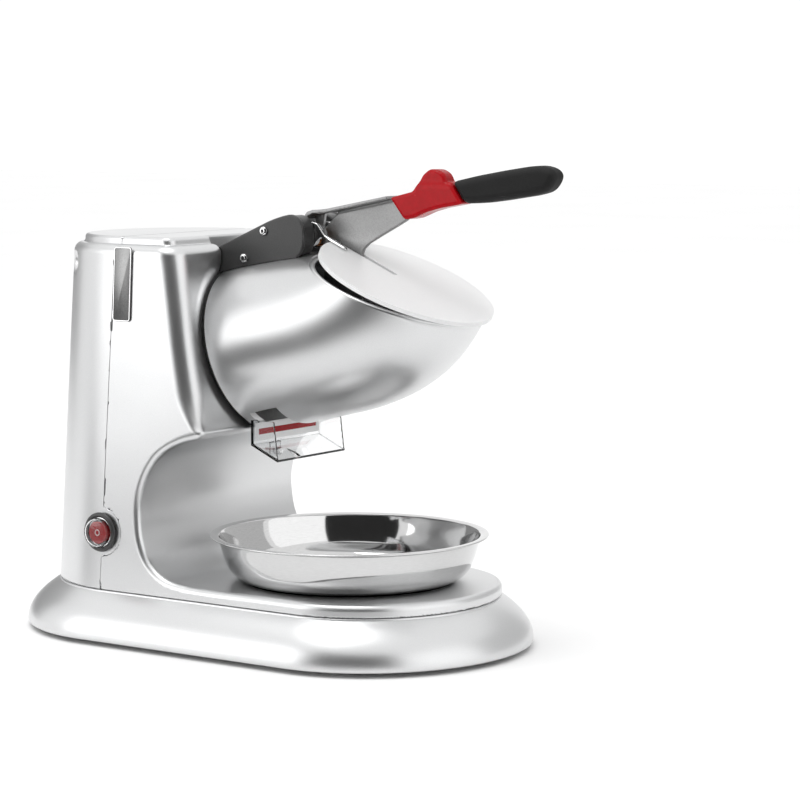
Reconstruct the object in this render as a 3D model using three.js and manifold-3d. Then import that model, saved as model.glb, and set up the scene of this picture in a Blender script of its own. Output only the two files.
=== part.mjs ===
// Shaved ice machine, in millimetres, +X towards the user, +Z up.
// Lengths are first given about the middle of the base. FRAME_SHIFT then puts the
// origin under the middle of the whole machine, because the handle reaches forward.

import * as THREE from 'three';
import { mergeVertices } from 'three/addons/utils/BufferGeometryUtils.js';
import Module from 'manifold-3d';

const wasm = await Module();
wasm.setup();

// ---- driving dimensions ----

const FRAME_SHIFT = -21;
const GAP = 0.3;
const WALL = 3;

const BASE = { length: 400, width: 234, bottom: 3.5, belly: 6, top: 37 };
const NECK = { length: 352, width: 193, centre: 1.2 };
const CAP_FRONT = 0.9;
const CAP_REAR = 0.95;
const FOOT = { radius: 12, height: 4.7, x: 148, y: 66 };

const TOWER = { low: 37.3, high: 285, halfLow: 96.5, halfHigh: 82.2, rearLow: -174.8, rearHigh: -165 };
const TOWER_CORNER = 12;
const SEAM_X = -88;
const PLATFORM_TOP = 46.3;

const AXIS_TILT = THREE.MathUtils.degToRad(16);
const AXIS_CENTRE = new THREE.Vector3(-12.7, 0, 208.9);
const COLLAR_RADIUS = 63;
const HOPPER_WALL = 4;
const DISH_FLARE = 0.75;

const PIN = { x: 41, z: 291, radius: 3.5 };
const LID = { x: 116.2, z: 261, radius: 64.8, tilt: THREE.MathUtils.degToRad(24), thick: 3 };
const WEB_HALF = 1.5;

const BOWL_X = 67;
const SWITCH = { x: -85, z: 79, y: -95.2 };
const SWITCH_TAB = 17.5;
const CHUTE = { half: 41, back: 9.8, wall: 2, top: 161, foot: 132, floor: 144.5, lip: 33.6, slope: 0.448 };
const OUTLET = { start: 9.5, end: 27.5, half: 41.6 };
const CHUTE_SCREW = { y: -14, z: 135.8 };

// ---- materials ----

function finish(colour, roughness, metalness) {
  return new THREE.MeshStandardMaterial({ color: colour, roughness, metalness });
}

const silver = finish(0xc9cbcc, 0.32, 0.75);
const blackSatin = finish(0x2b2c2e, 0.45, 0.1);
const rubber = finish(0x1c1c1d, 0.85, 0);
const steel = finish(0xb8bbbd, 0.3, 1);
const chrome = finish(0xe4e6e8, 0.08, 1);
const mirrorSteel = finish(0xd9dcde, 0.12, 1);
const castAluminium = finish(0x9a9c9e, 0.45, 0.9);
const copper = finish(0xb5733c, 0.35, 1);
const red = finish(0xc4141d, 0.25, 0);
const charcoal = finish(0x242527, 0.7, 0);
const frosted = finish(0xe6e8e8, 0.5, 0);
const clear = finish(0xdfe6e8, 0.1, 0);
const white = finish(0xf2f2f0, 0.5, 0);
const whiteSteel = finish(0xa7a9ac, 0.4, 1);

// ---- helpers ----

function closedGeometry(vertices, index) {
  let volume = 0;
  const corner = (k) => new THREE.Vector3().fromArray(vertices, index[k] * 3);
  for (let k = 0; k < index.length; k += 3) {
    volume += corner(k).dot(corner(k + 1).cross(corner(k + 2)));
  }
  if (volume < 0) index.reverse();
  const geometry = new THREE.BufferGeometry();
  geometry.setAttribute('position', new THREE.Float32BufferAttribute(vertices, 3));
  geometry.setIndex(index);
  return geometry;
}

function weld(geometry) {
  const plain = geometry.clone();
  plain.deleteAttribute('normal');
  plain.deleteAttribute('uv');
  const merged = mergeVertices(plain, 1e-3);
  const whole = [];
  for (let k = 0; k < merged.index.count; k += 3) {
    const [a, b, c] = [0, 1, 2].map((step) => merged.index.getX(k + step));
    if (a !== b && b !== c && c !== a) whole.push(a, b, c);
  }
  return closedGeometry(Array.from(merged.attributes.position.array), whole);
}

function toManifold(geometry) {
  const welded = weld(geometry);
  return new wasm.Manifold(new wasm.Mesh({
    numProp: 3,
    vertProperties: new Float32Array(welded.attributes.position.array),
    triVerts: new Uint32Array(welded.index.array),
  }));
}

function fromManifold(body) {
  const mesh = body.getMesh();
  const geometry = new THREE.BufferGeometry();
  geometry.setAttribute('position', new THREE.BufferAttribute(new Float32Array(mesh.vertProperties), 3));
  geometry.setIndex(new THREE.BufferAttribute(new Uint32Array(mesh.triVerts), 1));
  geometry.computeVertexNormals();
  return geometry;
}

function joined(...geometries) {
  return geometries.map(toManifold).reduce((whole, next) => whole.add(next));
}

function cut(body, ...tools) {
  return tools.reduce((rest, tool) => rest.subtract(toManifold(tool)), body);
}

// A closed solid through rings of equal point count, with a fan over each end.
function loft(rings) {
  const count = rings[0].length;
  const vertices = rings.flat().flatMap((point) => point.toArray());
  const index = [];
  for (let r = 0; r < rings.length - 1; r++) {
    for (let i = 0; i < count; i++) {
      const here = r * count + i;
      const beside = r * count + (i + 1) % count;
      index.push(here, beside, beside + count, here, beside + count, here + count);
    }
  }
  const addFan = (first, ring, flip) => {
    const middle = vertices.length / 3;
    const centre = new THREE.Vector3();
    ring.forEach((point) => centre.addScaledVector(point, 1 / count));
    vertices.push(...centre.toArray());
    for (let i = 0; i < count; i++) {
      const here = first + i;
      const beside = first + (i + 1) % count;
      index.push(...(flip ? [here, middle, beside] : [here, beside, middle]));
    }
  };
  addFan(0, rings[0], true);
  addFan((rings.length - 1) * count, rings[rings.length - 1], false);
  return closedGeometry(vertices, index);
}

// A lathe turned about Z from [radius, height] pairs.
function turned(profile, segments = 32) {
  const points = profile.map(([radius, height]) => new THREE.Vector2(radius, height));
  const geometry = weld(new THREE.LatheGeometry(points, segments).rotateX(Math.PI / 2));
  geometry.computeVertexNormals();
  return geometry;
}

function ring(inner, outer, low, high, segments = 32) {
  return turned([[inner, low], [outer, low], [outer, high], [inner, high], [inner, low]], segments);
}

function disc(radius, low, high, segments = 32) {
  return turned([[0, low], [radius, low], [radius, high], [0, high]], segments);
}

function block(x0, x1, y0, y1, z0, z1) {
  const geometry = new THREE.BoxGeometry(x1 - x0, y1 - y0, z1 - z0);
  return geometry.translate((x0 + x1) / 2, (y0 + y1) / 2, (z0 + z1) / 2);
}

// An outline of [x, z] pairs, made solid between two y values. The rounding eats
// into the outline's edge, so the outline stays the widest section.
function slab(outline, y0, y1, rounding = 0, steps = 2) {
  const shape = new THREE.Shape(outline.map(([x, z]) => new THREE.Vector2(x, z)));
  const geometry = new THREE.ExtrudeGeometry(shape, {
    depth: y1 - y0 - 2 * rounding,
    bevelEnabled: rounding > 0,
    bevelSize: rounding,
    bevelOffset: -rounding,
    bevelThickness: rounding,
    bevelSegments: steps,
    curveSegments: 6,
  });
  return geometry.rotateX(Math.PI / 2).translate(0, y1 - rounding, 0);
}

function alongY(geometry, x, y, z) {
  return geometry.rotateX(-Math.PI / 2).translate(x, y, z);
}

function alongX(geometry, x, y, z) {
  return geometry.rotateY(Math.PI / 2).translate(x, y, z);
}

// The motor's axis leans forward and up. Geometry made along Z is laid along it.
const AXIS_TURN = Math.PI / 2 - AXIS_TILT;

function alongAxis(geometry) {
  return geometry.rotateY(AXIS_TURN).translate(AXIS_CENTRE.x, 0, AXIS_CENTRE.z);
}

function axisPoint(along, across) {
  const x = AXIS_CENTRE.x + along * Math.cos(AXIS_TILT) - across * Math.sin(AXIS_TILT);
  const z = AXIS_CENTRE.z + along * Math.sin(AXIS_TILT) + across * Math.cos(AXIS_TILT);
  return new THREE.Vector2(x, z);
}

const machine = new THREE.Group();
machine.position.x = FRAME_SHIFT;

const motorLine = new THREE.Group();
motorLine.position.copy(AXIS_CENTRE);
motorLine.rotation.y = AXIS_TURN;
machine.add(motorLine);

function put(name, shape, material, parent = machine) {
  const geometry = shape.isBufferGeometry ? weld(shape) : fromManifold(shape);
  geometry.computeVertexNormals();
  const mesh = new THREE.Mesh(geometry, material);
  mesh.name = name;
  parent.add(mesh);
  return mesh;
}

// ---- base ----

// The plinth's outline: straight sides with a half ellipse at each end.
function baseOutline(length, width, centre, z) {
  const half = width / 2;
  const front = centre + length / 2;
  const rear = centre - length / 2;
  const steps = 10;
  const points = [];
  for (let i = 0; i <= steps; i++) {
    const turn = -Math.PI / 2 + Math.PI * i / steps;
    const depth = CAP_FRONT * half;
    points.push(new THREE.Vector3(front - depth + depth * Math.cos(turn), half * Math.sin(turn), z));
  }
  for (let i = 0; i <= steps; i++) {
    const turn = Math.PI / 2 + Math.PI * i / steps;
    const depth = CAP_REAR * half;
    points.push(new THREE.Vector3(rear + depth + depth * Math.cos(turn), half * Math.sin(turn), z));
  }
  return points;
}

// The flare: the inset grows with the square of the height.
function plinthRing(rise, inset, z) {
  const blend = rise * rise;
  const length = THREE.MathUtils.lerp(BASE.length, NECK.length, blend) - 2 * inset;
  const width = THREE.MathUtils.lerp(BASE.width, NECK.width, blend) - 2 * inset;
  return baseOutline(length, width, NECK.centre * blend, z);
}

function plinthBody(inset, floor, roof) {
  const rings = [plinthRing(0, inset + 1.2, floor)];
  const steps = 5;
  for (let i = 0; i <= steps; i++) {
    const rise = i / steps;
    rings.push(plinthRing(rise, inset, THREE.MathUtils.lerp(BASE.belly, roof - 1, rise)));
  }
  rings.push(plinthRing(1, inset + 1.5, roof));
  return loft(rings);
}

function makeBase() {
  const wireWay = block(-150, -100, -40, 40, 20, 60);
  const plinth = cut(toManifold(plinthBody(0, BASE.bottom, BASE.top)), plinthBody(WALL, 0,
    BASE.top - WALL), wireWay);
  put('base_plinth', plinth, silver);

  const plateInset = WALL + 1.8;
  const plate = loft([plinthRing(0, plateInset, 5), plinthRing(0, plateInset, 7)]);
  const slots = [];
  for (let i = 0; i < 6; i++) slots.push(block(-150 + i * 12, -145 + i * 12, -28, 28, 0, 20));
  put('base_plate', cut(toManifold(plate), ...slots), whiteSteel);

  [['front', 1], ['rear', -1]].forEach(([end, alongSign]) => {
    [['left', 1], ['right', -1]].forEach(([side, acrossSign]) => {
      const profile = [[0, 0], [FOOT.radius - 1.5, 0], [FOOT.radius, 1.5],
        [FOOT.radius - 1, FOOT.height], [0, FOOT.height]];
      const foot = put(`foot_${end}_${side}`, turned(profile, 16), rubber);
      foot.position.set(alongSign * FOOT.x, acrossSign * FOOT.y, 0);
    });
  });
}

// ---- housings ----

// The tower's front, from the shoulder down to the bowl platform: it leans
// forward to the nose, then curves back as the wall behind the bowl.
const FRONT_CURVE = new THREE.SplineCurve([
  [-21, 285], [-16, 250], [-10, 216], [-4.5, 186], [0.5, 163], [2.6, 155], [-3, 149.5],
  [-18, 145], [-32, 137], [-44, 125], [-51, 108], [-52, 92], [-49.5, 76], [-42, 61], [-28, 50.5], [-14, 46],
].map(([x, z]) => new THREE.Vector2(x, z)));
const FRONT_POINTS = FRONT_CURVE.getPoints(140);

function frontAt(z) {
  const next = FRONT_POINTS.findIndex((point) => point.y <= z);
  if (next === 0) return FRONT_POINTS[0].x;
  if (next < 0) return FRONT_POINTS[FRONT_POINTS.length - 1].x;
  const above = FRONT_POINTS[next - 1];
  const below = FRONT_POINTS[next];
  return THREE.MathUtils.mapLinear(z, above.y, below.y, above.x, below.x);
}

// The same front, moved inwards by the wall's thickness.
function frontInside(z, wall) {
  let nearest = Infinity;
  const steps = 12;
  for (let i = 0; i <= steps; i++) {
    const lift = wall * (2 * i / steps - 1);
    nearest = Math.min(nearest, frontAt(z + lift) - Math.sqrt(wall * wall - lift * lift));
  }
  return nearest;
}

function towerRing(z, front, inset) {
  const rise = (z - TOWER.low) / (TOWER.high - TOWER.low);
  const half = THREE.MathUtils.lerp(TOWER.halfLow, TOWER.halfHigh, rise) - inset;
  const rear = THREE.MathUtils.lerp(TOWER.rearLow, TOWER.rearHigh, rise) + inset;
  const depth = CAP_REAR * half;
  const corner = Math.max(TOWER_CORNER - inset, 4);
  const rearSteps = 8;
  const cornerSteps = 3;
  const side = [];
  for (let i = 1; i <= rearSteps; i++) {
    const turn = Math.PI / 2 * i / rearSteps;
    side.push(new THREE.Vector3(rear + depth * (1 - Math.cos(turn)), -half * Math.sin(turn), z));
  }
  for (let i = 0; i <= cornerSteps; i++) {
    const turn = -Math.PI / 2 + Math.PI / 2 * i / cornerSteps;
    const x = front - corner + corner * Math.cos(turn);
    side.push(new THREE.Vector3(x, corner - half + corner * Math.sin(turn), z));
  }
  const mirrored = side.map((point) => new THREE.Vector3(point.x, -point.y, z)).reverse();
  return [new THREE.Vector3(rear, 0, z), ...side, ...mirrored];
}

// Heights and insets of the rounded shoulder and the raised plateau above it.
const CROWN = [[292.4, 15], [292, 10.5], [290.3, 8.2], [286.2, 7.6], [285.6, 6.6], [284.8, 3.6],
  [282.6, 1.1], [278.5, 0]];

function towerBody() {
  const rings = CROWN.map(([z, inset]) => towerRing(z, frontAt(z) - inset, inset));
  const heights = FRONT_CURVE.getPoints(22).map((point) => point.y).filter((z) => z < 276);
  heights.forEach((z) => rings.push(towerRing(z, frontAt(z), 0)));
  rings.push(towerRing(TOWER.low, frontAt(40), 0));
  return loft(rings);
}

function towerHollow() {
  const rings = CROWN.filter(([z]) => z > 288 || z < 284).map(([z, inset]) => {
    const deep = inset + WALL;
    return towerRing(z - WALL, frontAt(z) - deep, deep);
  });
  const heights = FRONT_CURVE.getPoints(18).map((point) => point.y).filter((z) => z < 272);
  heights.forEach((z) => rings.push(towerRing(z, frontInside(z, WALL), WALL)));
  rings.push(towerRing(30, frontInside(40, WALL), WALL));
  return loft(rings);
}

// Behind the seam the tower is straight from foot to shoulder, so few rings do.
function rearBody(wall) {
  const front = SEAM_X + 43;
  const crown = CROWN.filter(([z]) => wall === 0 || z > 288 || z < 284);
  const rings = crown.map(([z, inset]) => towerRing(z - wall, front, inset + wall));
  rings.push(towerRing(wall === 0 ? TOWER.low : 30, front, wall));
  return loft(rings);
}

function platformRing(z, inset) {
  const half = NECK.width / 2 - 0.6 - inset;
  const depth = CAP_FRONT * half;
  const front = NECK.centre + NECK.length / 2 - inset;
  const steps = 20;
  const points = [new THREE.Vector3(SEAM_X - 20, half, z), new THREE.Vector3(SEAM_X - 20, -half, z)];
  for (let i = 0; i <= steps; i++) {
    const turn = -Math.PI / 2 + Math.PI * i / steps;
    points.push(new THREE.Vector3(front - depth + depth * Math.cos(turn), half * Math.sin(turn), z));
  }
  return points;
}

function platformBody() {
  const edge = [[TOWER.low, 0.8], [38.2, 0], [42.2, 0.2], [45, 1.8], [PLATFORM_TOP, 5.5]];
  return loft(edge.map(([z, inset]) => platformRing(z, inset)));
}

function platformHollow() {
  return loft([platformRing(30, WALL), platformRing(41.5, WALL), platformRing(PLATFORM_TOP - WALL,
    WALL + 3)]);
}

// The recess in the tower's front that the hopper sits in.
function dish(grow) {
  const start = -GAP - grow;
  const reach = 60;
  const low = COLLAR_RADIUS + 1 + grow;
  const high = COLLAR_RADIUS + 1 + DISH_FLARE * reach + grow * 1.25;
  return alongAxis(turned([[0, start], [low, start], [high, reach], [0, reach]], 40));
}

// The cylinder that the hopper's collar, its seal and the motor's flange fill.
function collarSpace(grow, start, end) {
  return alongAxis(disc(COLLAR_RADIUS + grow, start, end, 40));
}

function bracketNotch(grow) {
  const seat = toManifold(block(-39 - grow, 20, -28 - grow, 28 + grow, 255, 320));
  return seat.subtract(toManifold(collarSpace(1 - grow, -30, 40)));
}

// A finger scoop on each side of the tower's back.
function carryRecess(grow) {
  const reach = 82.5;
  const turn = THREE.MathUtils.degToRad(51);
  const scoops = [1, -1].map((sign) => {
    const scoop = new THREE.CapsuleGeometry(8.6 + grow, 12, 6, 16).rotateZ(-sign * turn);
    return scoop.translate(-86.5 - reach * Math.cos(turn), sign * reach * Math.sin(turn), 270);
  });
  return joined(...scoops);
}

function makeHousings() {
  const outer = cut(joined(towerBody(), platformBody()), dish(0)).subtract(bracketNotch(0));
  const hollow = cut(joined(towerHollow(), platformHollow()), dish(WALL)).subtract(bracketNotch(WALL));
  const rearShell = toManifold(rearBody(0)).subtract(carryRecess(0))
    .subtract(toManifold(rearBody(WALL)).subtract(carryRecess(WALL)));
  const tab = (radius) => alongY(disc(radius, -30, 60, 28), SWITCH.x, SWITCH.y, SWITCH.z);
  const rearSide = (grow) => joined(block(-220, SEAM_X + grow, -130, 130, 0, 320), tab(SWITCH_TAB + grow));
  const switchHole = alongY(disc(10.4, -20, 30, 24), SWITCH.x, SWITCH.y, SWITCH.z);
  const flangeHole = alongAxis(disc(32, -20, 20, 24));
  const cordHole = alongX(disc(6.3, -20, 20, 16), -172, 0, 58);
  // The chute's screw goes into a lug on the front shell, below the motor's flange.
  const lug = block(-9, CHUTE.back - GAP, CHUTE_SCREW.y - 8, CHUTE_SCREW.y + 8, 132, 150);
  const lugHole = alongX(disc(1.9, -6, 30, 12), 0, CHUTE_SCREW.y, CHUTE_SCREW.z);
  const shell = outer.subtract(hollow).add(toManifold(lug).subtract(toManifold(collarSpace(1, -GAP, 40))));
  put('front_housing', cut(shell.subtract(rearSide(GAP / 2)), flangeHole, lugHole), silver);
  put('rear_housing', cut(rearShell.intersect(rearSide(-GAP / 2)), switchHole, cordHole), silver);
}

function makeBadge() {
  const lean = Math.atan((TOWER.halfLow - TOWER.halfHigh) / (TOWER.high - TOWER.low));
  const outline = new THREE.Shape();
  outline.absarc(6, 24.5, 2, 0, Math.PI / 2);
  outline.absarc(-6, 24.5, 2, Math.PI / 2, Math.PI);
  outline.absarc(-6, -24.5, 2, Math.PI, Math.PI * 1.5);
  outline.absarc(6, -24.5, 2, Math.PI * 1.5, Math.PI * 2);
  const options = { depth: 1.2, bevelEnabled: false, curveSegments: 3 };
  const plate = new THREE.ExtrudeGeometry(outline, options).rotateX(Math.PI / 2);
  const badge = put('name_badge', plate, castAluminium);
  badge.position.set(-71.3, -(83.85 + GAP), 257.5);
  badge.rotation.x = -lean;
}

// ---- switch ----

function makeSwitch() {
  const place = (name, shape, material) => {
    const mesh = put(name, shape, material);
    mesh.position.set(SWITCH.x, SWITCH.y, SWITCH.z);
    mesh.rotation.x = Math.PI / 2;
  };
  const bezel = [[9.2, -6], [10, -6], [10, 0], [14.3, 0], [14.3, 1.4], [13.4, 2.6], [11, 2.6],
    [11, 1.2], [9.2, 1.2], [9.2, -6]];
  place('switch_bezel', turned(bezel, 24), blackSatin);
  const cap = [[9.6, 1.5], [10.7, 1.5], [10.7, 6], [9.4, 7.6], [0, 7.6], [0, 6.6], [9, 6.6],
    [9.6, 5.6], [9.6, 1.5]];
  place('switch_cap', turned(cap, 24), clear);
  const rocker = [[0, -4], [8.2, -4], [8.4, 3.6], [7.8, 4.2], [0, 3.4]];
  place('switch_rocker', turned(rocker, 24), red);
  const body = joined(disc(8.9, -24, -6.5, 24), block(-1, 1, -5, 5, -32, -20), block(4, 6, -3, 3, -32, -20));
  place('switch_body', body, rubber);
}

// ---- hopper ----

const collarTop = axisPoint(1.5, COLLAR_RADIUS);
const collarLow = axisPoint(1.5, -COLLAR_RADIUS);
const HOPPER_TOP = new THREE.SplineCurve([
  [collarTop.x, collarTop.y], [-12, 273.5], [12, 277.5], [33, 280], [50, 280],
].map(([x, z]) => new THREE.Vector2(x, z)));
const HOPPER_LOW = new THREE.SplineCurve([
  [collarLow.x, collarLow.y], [32, 156.5], [63, 164], [88, 170.5], [111, 179.2], [129, 189],
  [145, 201.3], [158, 216], [170.5, 235],
].map(([x, z]) => new THREE.Vector2(x, z)));

function hopperRing(along, inset, shift = 0) {
  const top = HOPPER_TOP.getPointAt(along);
  const low = HOPPER_LOW.getPointAt(along);
  const middle = top.clone().add(low).multiplyScalar(0.5);
  const reach = top.clone().sub(middle);
  const half = reach.length();
  reach.multiplyScalar((half - inset) / half);
  const out = new THREE.Vector2(reach.y, -reach.x).normalize().multiplyScalar(shift);
  middle.add(out);
  const wide = COLLAR_RADIUS + 3.5 * Math.sin(Math.PI * along * 0.85) + 1.5 * along - inset;
  const points = [];
  const steps = 28;
  for (let i = 0; i < steps; i++) {
    const turn = 2 * Math.PI * i / steps;
    const x = middle.x + reach.x * Math.cos(turn);
    const z = middle.y + reach.y * Math.cos(turn);
    points.push(new THREE.Vector3(x, wide * Math.sin(turn), z));
  }
  return points;
}

function hopperBody(grow) {
  const rings = [];
  const steps = 10;
  for (let i = 0; i <= steps; i++) rings.push(hopperRing(i / steps, -grow));
  return loft(rings);
}

function hopperHollow() {
  const rings = [hopperRing(0, HOPPER_WALL, -3)];
  const steps = 10;
  for (let i = 0; i <= steps; i++) rings.push(hopperRing(i / steps, HOPPER_WALL));
  rings.push(hopperRing(1, HOPPER_WALL, 4));
  return loft(rings);
}

// The slot in the hopper's floor, behind the blade disc.
function outletSpace(shrink) {
  const half = OUTLET.half - shrink;
  return block(OUTLET.start + shrink, OUTLET.end - shrink, -half, half, 130, 172);
}

function makeHopper() {
  put('hopper', cut(toManifold(hopperBody(0)), hopperHollow(), outletSpace(0)), silver);
  put('hopper_seal', ring(COLLAR_RADIUS - HOPPER_WALL + 0.2, COLLAR_RADIUS - 0.4, 0, 1.2, 32), rubber,
    motorLine);
}

function makeChute() {
  const { half, back, wall, top, foot, lip } = CHUTE;
  const face = back + wall;
  const floorAt = (x) => CHUTE.floor - (x - back) * CHUTE.slope;
  const side = [[back, foot], [face, foot], [face, floorAt(face) - wall], [lip, floorAt(lip) - wall],
    [lip, floorAt(lip)], [31, top], [back, top]];
  const room = [[face, floorAt(face)], [lip + 5, floorAt(lip + 5)], [lip + 5, 180], [face, 180]];
  const screwHole = alongX(disc(1.9, -5, 10, 12), back, CHUTE_SCREW.y, CHUTE_SCREW.z);
  const besideTab = joined(block(back - 1, face, -60, -20, 100, 140), block(back - 1, face, 6, 60, 100, 140));
  const hopperSpace = cut(toManifold(hopperBody(0.5)), outletSpace(GAP));
  const scoop = cut(toManifold(slab(side, -half, half)), slab(room, wall - half, half - wall), screwHole);
  const pieces = scoop.subtract(besideTab).subtract(hopperSpace).decompose();
  pieces.sort((first, second) => second.volume() - first.volume());
  put('chute', pieces[0], clear);
  put('chute_label', block(face + GAP, face + GAP + 0.5, -38, 38, 145.8, 158.8), white);
  const screw = [[0, -7], [1.6, -7], [1.6, 2.3], [2.8, 2.3], [2.8, 6], [2.2, 6.6], [0, 6.6]];
  put('chute_screw', alongX(turned(screw, 16), back, CHUTE_SCREW.y, CHUTE_SCREW.z), chrome);
}

// ---- bracket and hinge ----

const BRACKET_OUTLINE = [[-37, 279.8], [-34.6, 261.6], [35, 274.2], [42, 277.5], [46, 283.5], [47, 291],
  [46.2, 299.5], [42.5, 305.5], [36.5, 308], [30, 307], [18.2, 303.6]];
const SCREW_PLACES = [[11.9, 295.4], [-5.8, 275.6]];
const COVER_Y = 24;
const COVER_THICK = 3;
const FORK_HALF = 12.3;

function makeBracket() {
  const pinHole = alongY(disc(PIN.radius + GAP, -40, 40, 20), PIN.x, 0, PIN.z);
  const screwHoles = SCREW_PLACES.map(([x, z]) => alongY(disc(1.9, -40, 40, 12), x, 0, z));
  const fork = block(16.5, 60, -FORK_HALF, FORK_HALF, 250, 320);
  const pocket = block(-9, 13, -7, 7, 283, 292);
  const plungerWay = block(-9, 20, -2.3, 2.3, 284.7, 289.3);
  const lidWay = block(-9, 13, -7, 7, 290, 310);
  const core = cut(toManifold(slab(BRACKET_OUTLINE, GAP - COVER_Y, COVER_Y - GAP)),
    fork, pocket, plungerWay, lidWay, hopperBody(0.5), collarSpace(1.5, -30, 2), pinHole, ...screwHoles);
  put('bracket_core', core, blackSatin);

  [['left', 1], ['right', -1]].forEach(([side, sign]) => {
    const low = sign > 0 ? COVER_Y : -COVER_Y - COVER_THICK;
    const plate = toManifold(slab(BRACKET_OUTLINE, low, low + COVER_THICK, 0.8, 1));
    const cover = cut(plate, hopperBody(0.5), collarSpace(1.5, -30, 2), ...screwHoles);
    put(`bracket_cover_${side}`, cover, blackSatin);
    SCREW_PLACES.forEach(([x, z], index) => {
      const profile = [[0, 0], [1.5, 0], [1.5, 12], [3.2, 12], [3.2, 13.2], [2.5, 14], [1.4, 14],
        [1.4, 13], [0, 13]];
      const screw = put(`bracket_screw_${side}_${index + 1}`, turned(profile, 10), chrome);
      const head = COVER_Y + COVER_THICK + GAP - 12;
      screw.position.set(x, sign * head, z);
      screw.rotation.x = -sign * Math.PI / 2;
    });
  });

  const pin = disc(PIN.radius, 0.2 - COVER_Y, COVER_Y - 0.2, 20);
  put('hinge_pin', alongY(pin, PIN.x, 0, PIN.z), chrome);
}

function makeMicroSwitch() {
  const height = 287;
  const bore = alongX(disc(2.2, -5, 1, 12), 12.6, 0, height);
  put('micro_switch', cut(toManifold(block(-8.6, 12.6, -6.6, 6.6, 283.4, 291.6)), bore), blackSatin);
  const plunger = alongX(turned([[0, 0], [1.9, 0], [1.9, 7.4], [1, 8.4], [0, 8.4]], 12), 10.9, 0, height);
  put('micro_switch_plunger', plunger, red);
}

// ---- lid ----

const lidLine = new THREE.Group();
lidLine.position.set(LID.x, 0, LID.z);
lidLine.rotation.y = LID.tilt;
machine.add(lidLine);

function lidHeight(x) {
  return LID.z - (x - LID.x) * Math.tan(LID.tilt);
}

function makeLid() {
  const rim = [[0, -1.5], [LID.radius - 1, -1.5], [LID.radius, -0.6], [LID.radius, 0.6],
    [LID.radius - 1, 1.5], [0, 1.5]];
  const slotEnd = (108 - LID.x) / Math.cos(LID.tilt);
  const slot = block(-80, slotEnd, -WEB_HALF - 0.8, WEB_HALF + 0.8, -5, 5);
  put('lid', cut(toManifold(turned(rim, 48)), slot), frosted, lidLine);

  const knuckle = (y0, y1) => alongY(disc(7, y0, y1, 20), PIN.x, 0, PIN.z);
  const pinHole = alongY(disc(PIN.radius + GAP, -40, 40, 20), PIN.x, 0, PIN.z);
  const lift = LID.thick / 2 / Math.cos(LID.tilt) + GAP;
  const low = (x) => lidHeight(x) + lift;
  const leaf = [[PIN.x + 2, PIN.z - 5.5], [52, low(52) - 0.2], [57, low(57)], [72, low(72)],
    [72, low(72) + 2],
    [54, low(54) + 2.4], [47, 301.5], [41, 302.5], [38, 296]];
  [['left', 3.3, 11.9], ['right', -11.9, -8.5]].forEach(([side, y0, y1]) => {
    const body = cut(joined(knuckle(y0, y1), slab(leaf, y0, y1)), pinHole);
    put(`lid_hinge_${side}`, body, chrome);
  });
}

// ---- handle ----

const FLANGE_TOP = [[33, 306], [35.5, 309], [40, 310.4], [46, 310.8], [53.1, 311.6], [104.6, 321.6]];

function pusherPoint(along, off) {
  const start = new THREE.Vector2(34, 245);
  const down = new THREE.Vector2(0.682, -0.731);
  const front = new THREE.Vector2(0.731, 0.682);
  const point = start.addScaledVector(down, along).addScaledVector(front, off);
  return [point.x, point.y];
}

function makeHandle() {
  const flange = [...FLANGE_TOP, [105.9, 319.2], [53.5, 308.6], [46, 307.8], [40.6, 307.4],
    [37, 305.4], [34.5, 303.6]];
  const throat = [];
  for (let i = 0; i <= 4; i++) {
    const turn = THREE.MathUtils.degToRad(-75 + i * 16.75);
    throat.push([PIN.x + 20 * Math.cos(turn), PIN.z + 20 * Math.sin(turn)]);
  }
  const web = [[46, 297], [50.5, 301], [55, 305.5], [60, 309.6], [106, 319], [118.6, 305.2], [110.7, 300.9],
    [96.6, 293.6], [85.2, 287.4], [80.9, 283.5],
    [79, 279], pusherPoint(64, 2 + GAP), pusherPoint(13, 2 + GAP),
    ...throat, [48.5, 290.4]];
  const hub = alongY(disc(8, -3, 3, 24), PIN.x, 0, PIN.z);
  const pinHole = alongY(disc(PIN.radius + GAP, -40, 40, 20), PIN.x, 0, PIN.z);
  const post = slab([[37, 296], [45, 296], [47, 308.5], [38, 306.5]], -WEB_HALF, WEB_HALF);
  const arm = cut(joined(slab(flange, -8, 8), slab(web, -WEB_HALF, WEB_HALF), hub, post, tang(0)), pinHole);
  put('handle_arm', arm, castAluminium);

  const sleeve = [[107.2, 320.6], [126.3, 325.2], [129.5, 330], [133.5, 337], [139, 340.9], [145.5, 340.8],
    [150.8, 338.2], [153, 334.8], [153.8, 332], [157.5, 332.5], [168, 317.6], [161, 316.2], [148.4, 314],
    [137.7, 311.1], [127, 306.7], [119.3, 305.4]];
  put('handle_sleeve', cut(toManifold(slab(sleeve, -9, 9, 3.2, 2)), grownTang()), red);

  const grip = [[158.2, 332.6], [179, 337.1], [199.8, 340.8], [220, 343.9], [230, 344.7],
    [238.5, 342.6], [242, 338.5],
    [240.6, 333], [235.4, 327], [225.3, 324.4], [199.9, 320.4], [184.3, 318.4], [168.7, 317.6]];
  put('handle_grip', cut(toManifold(slab(grip, -8.5, 8.5, 5, 3)), grownTang()), charcoal);
}

// The flat bar that runs through the sleeve and the grip.
function tang(grow) {
  const lean = 0.163;
  const [start, end, foot] = [110.5, 218, 310.5];
  const low = (x) => foot + (x - 100) * lean;
  const bar = [[start, low(start)], [end, low(end)], [end, low(end) + 6], [start, low(start) + 6]];
  const wide = 3 + grow;
  const grown = bar.map(([x, z], index) => [x + (index % 3 ? grow : -grow),
    z + (index > 1 ? grow : -grow) * 1.02]);
  return slab(grown, -wide, wide);
}

function grownTang() {
  return tang(GAP);
}

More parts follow.
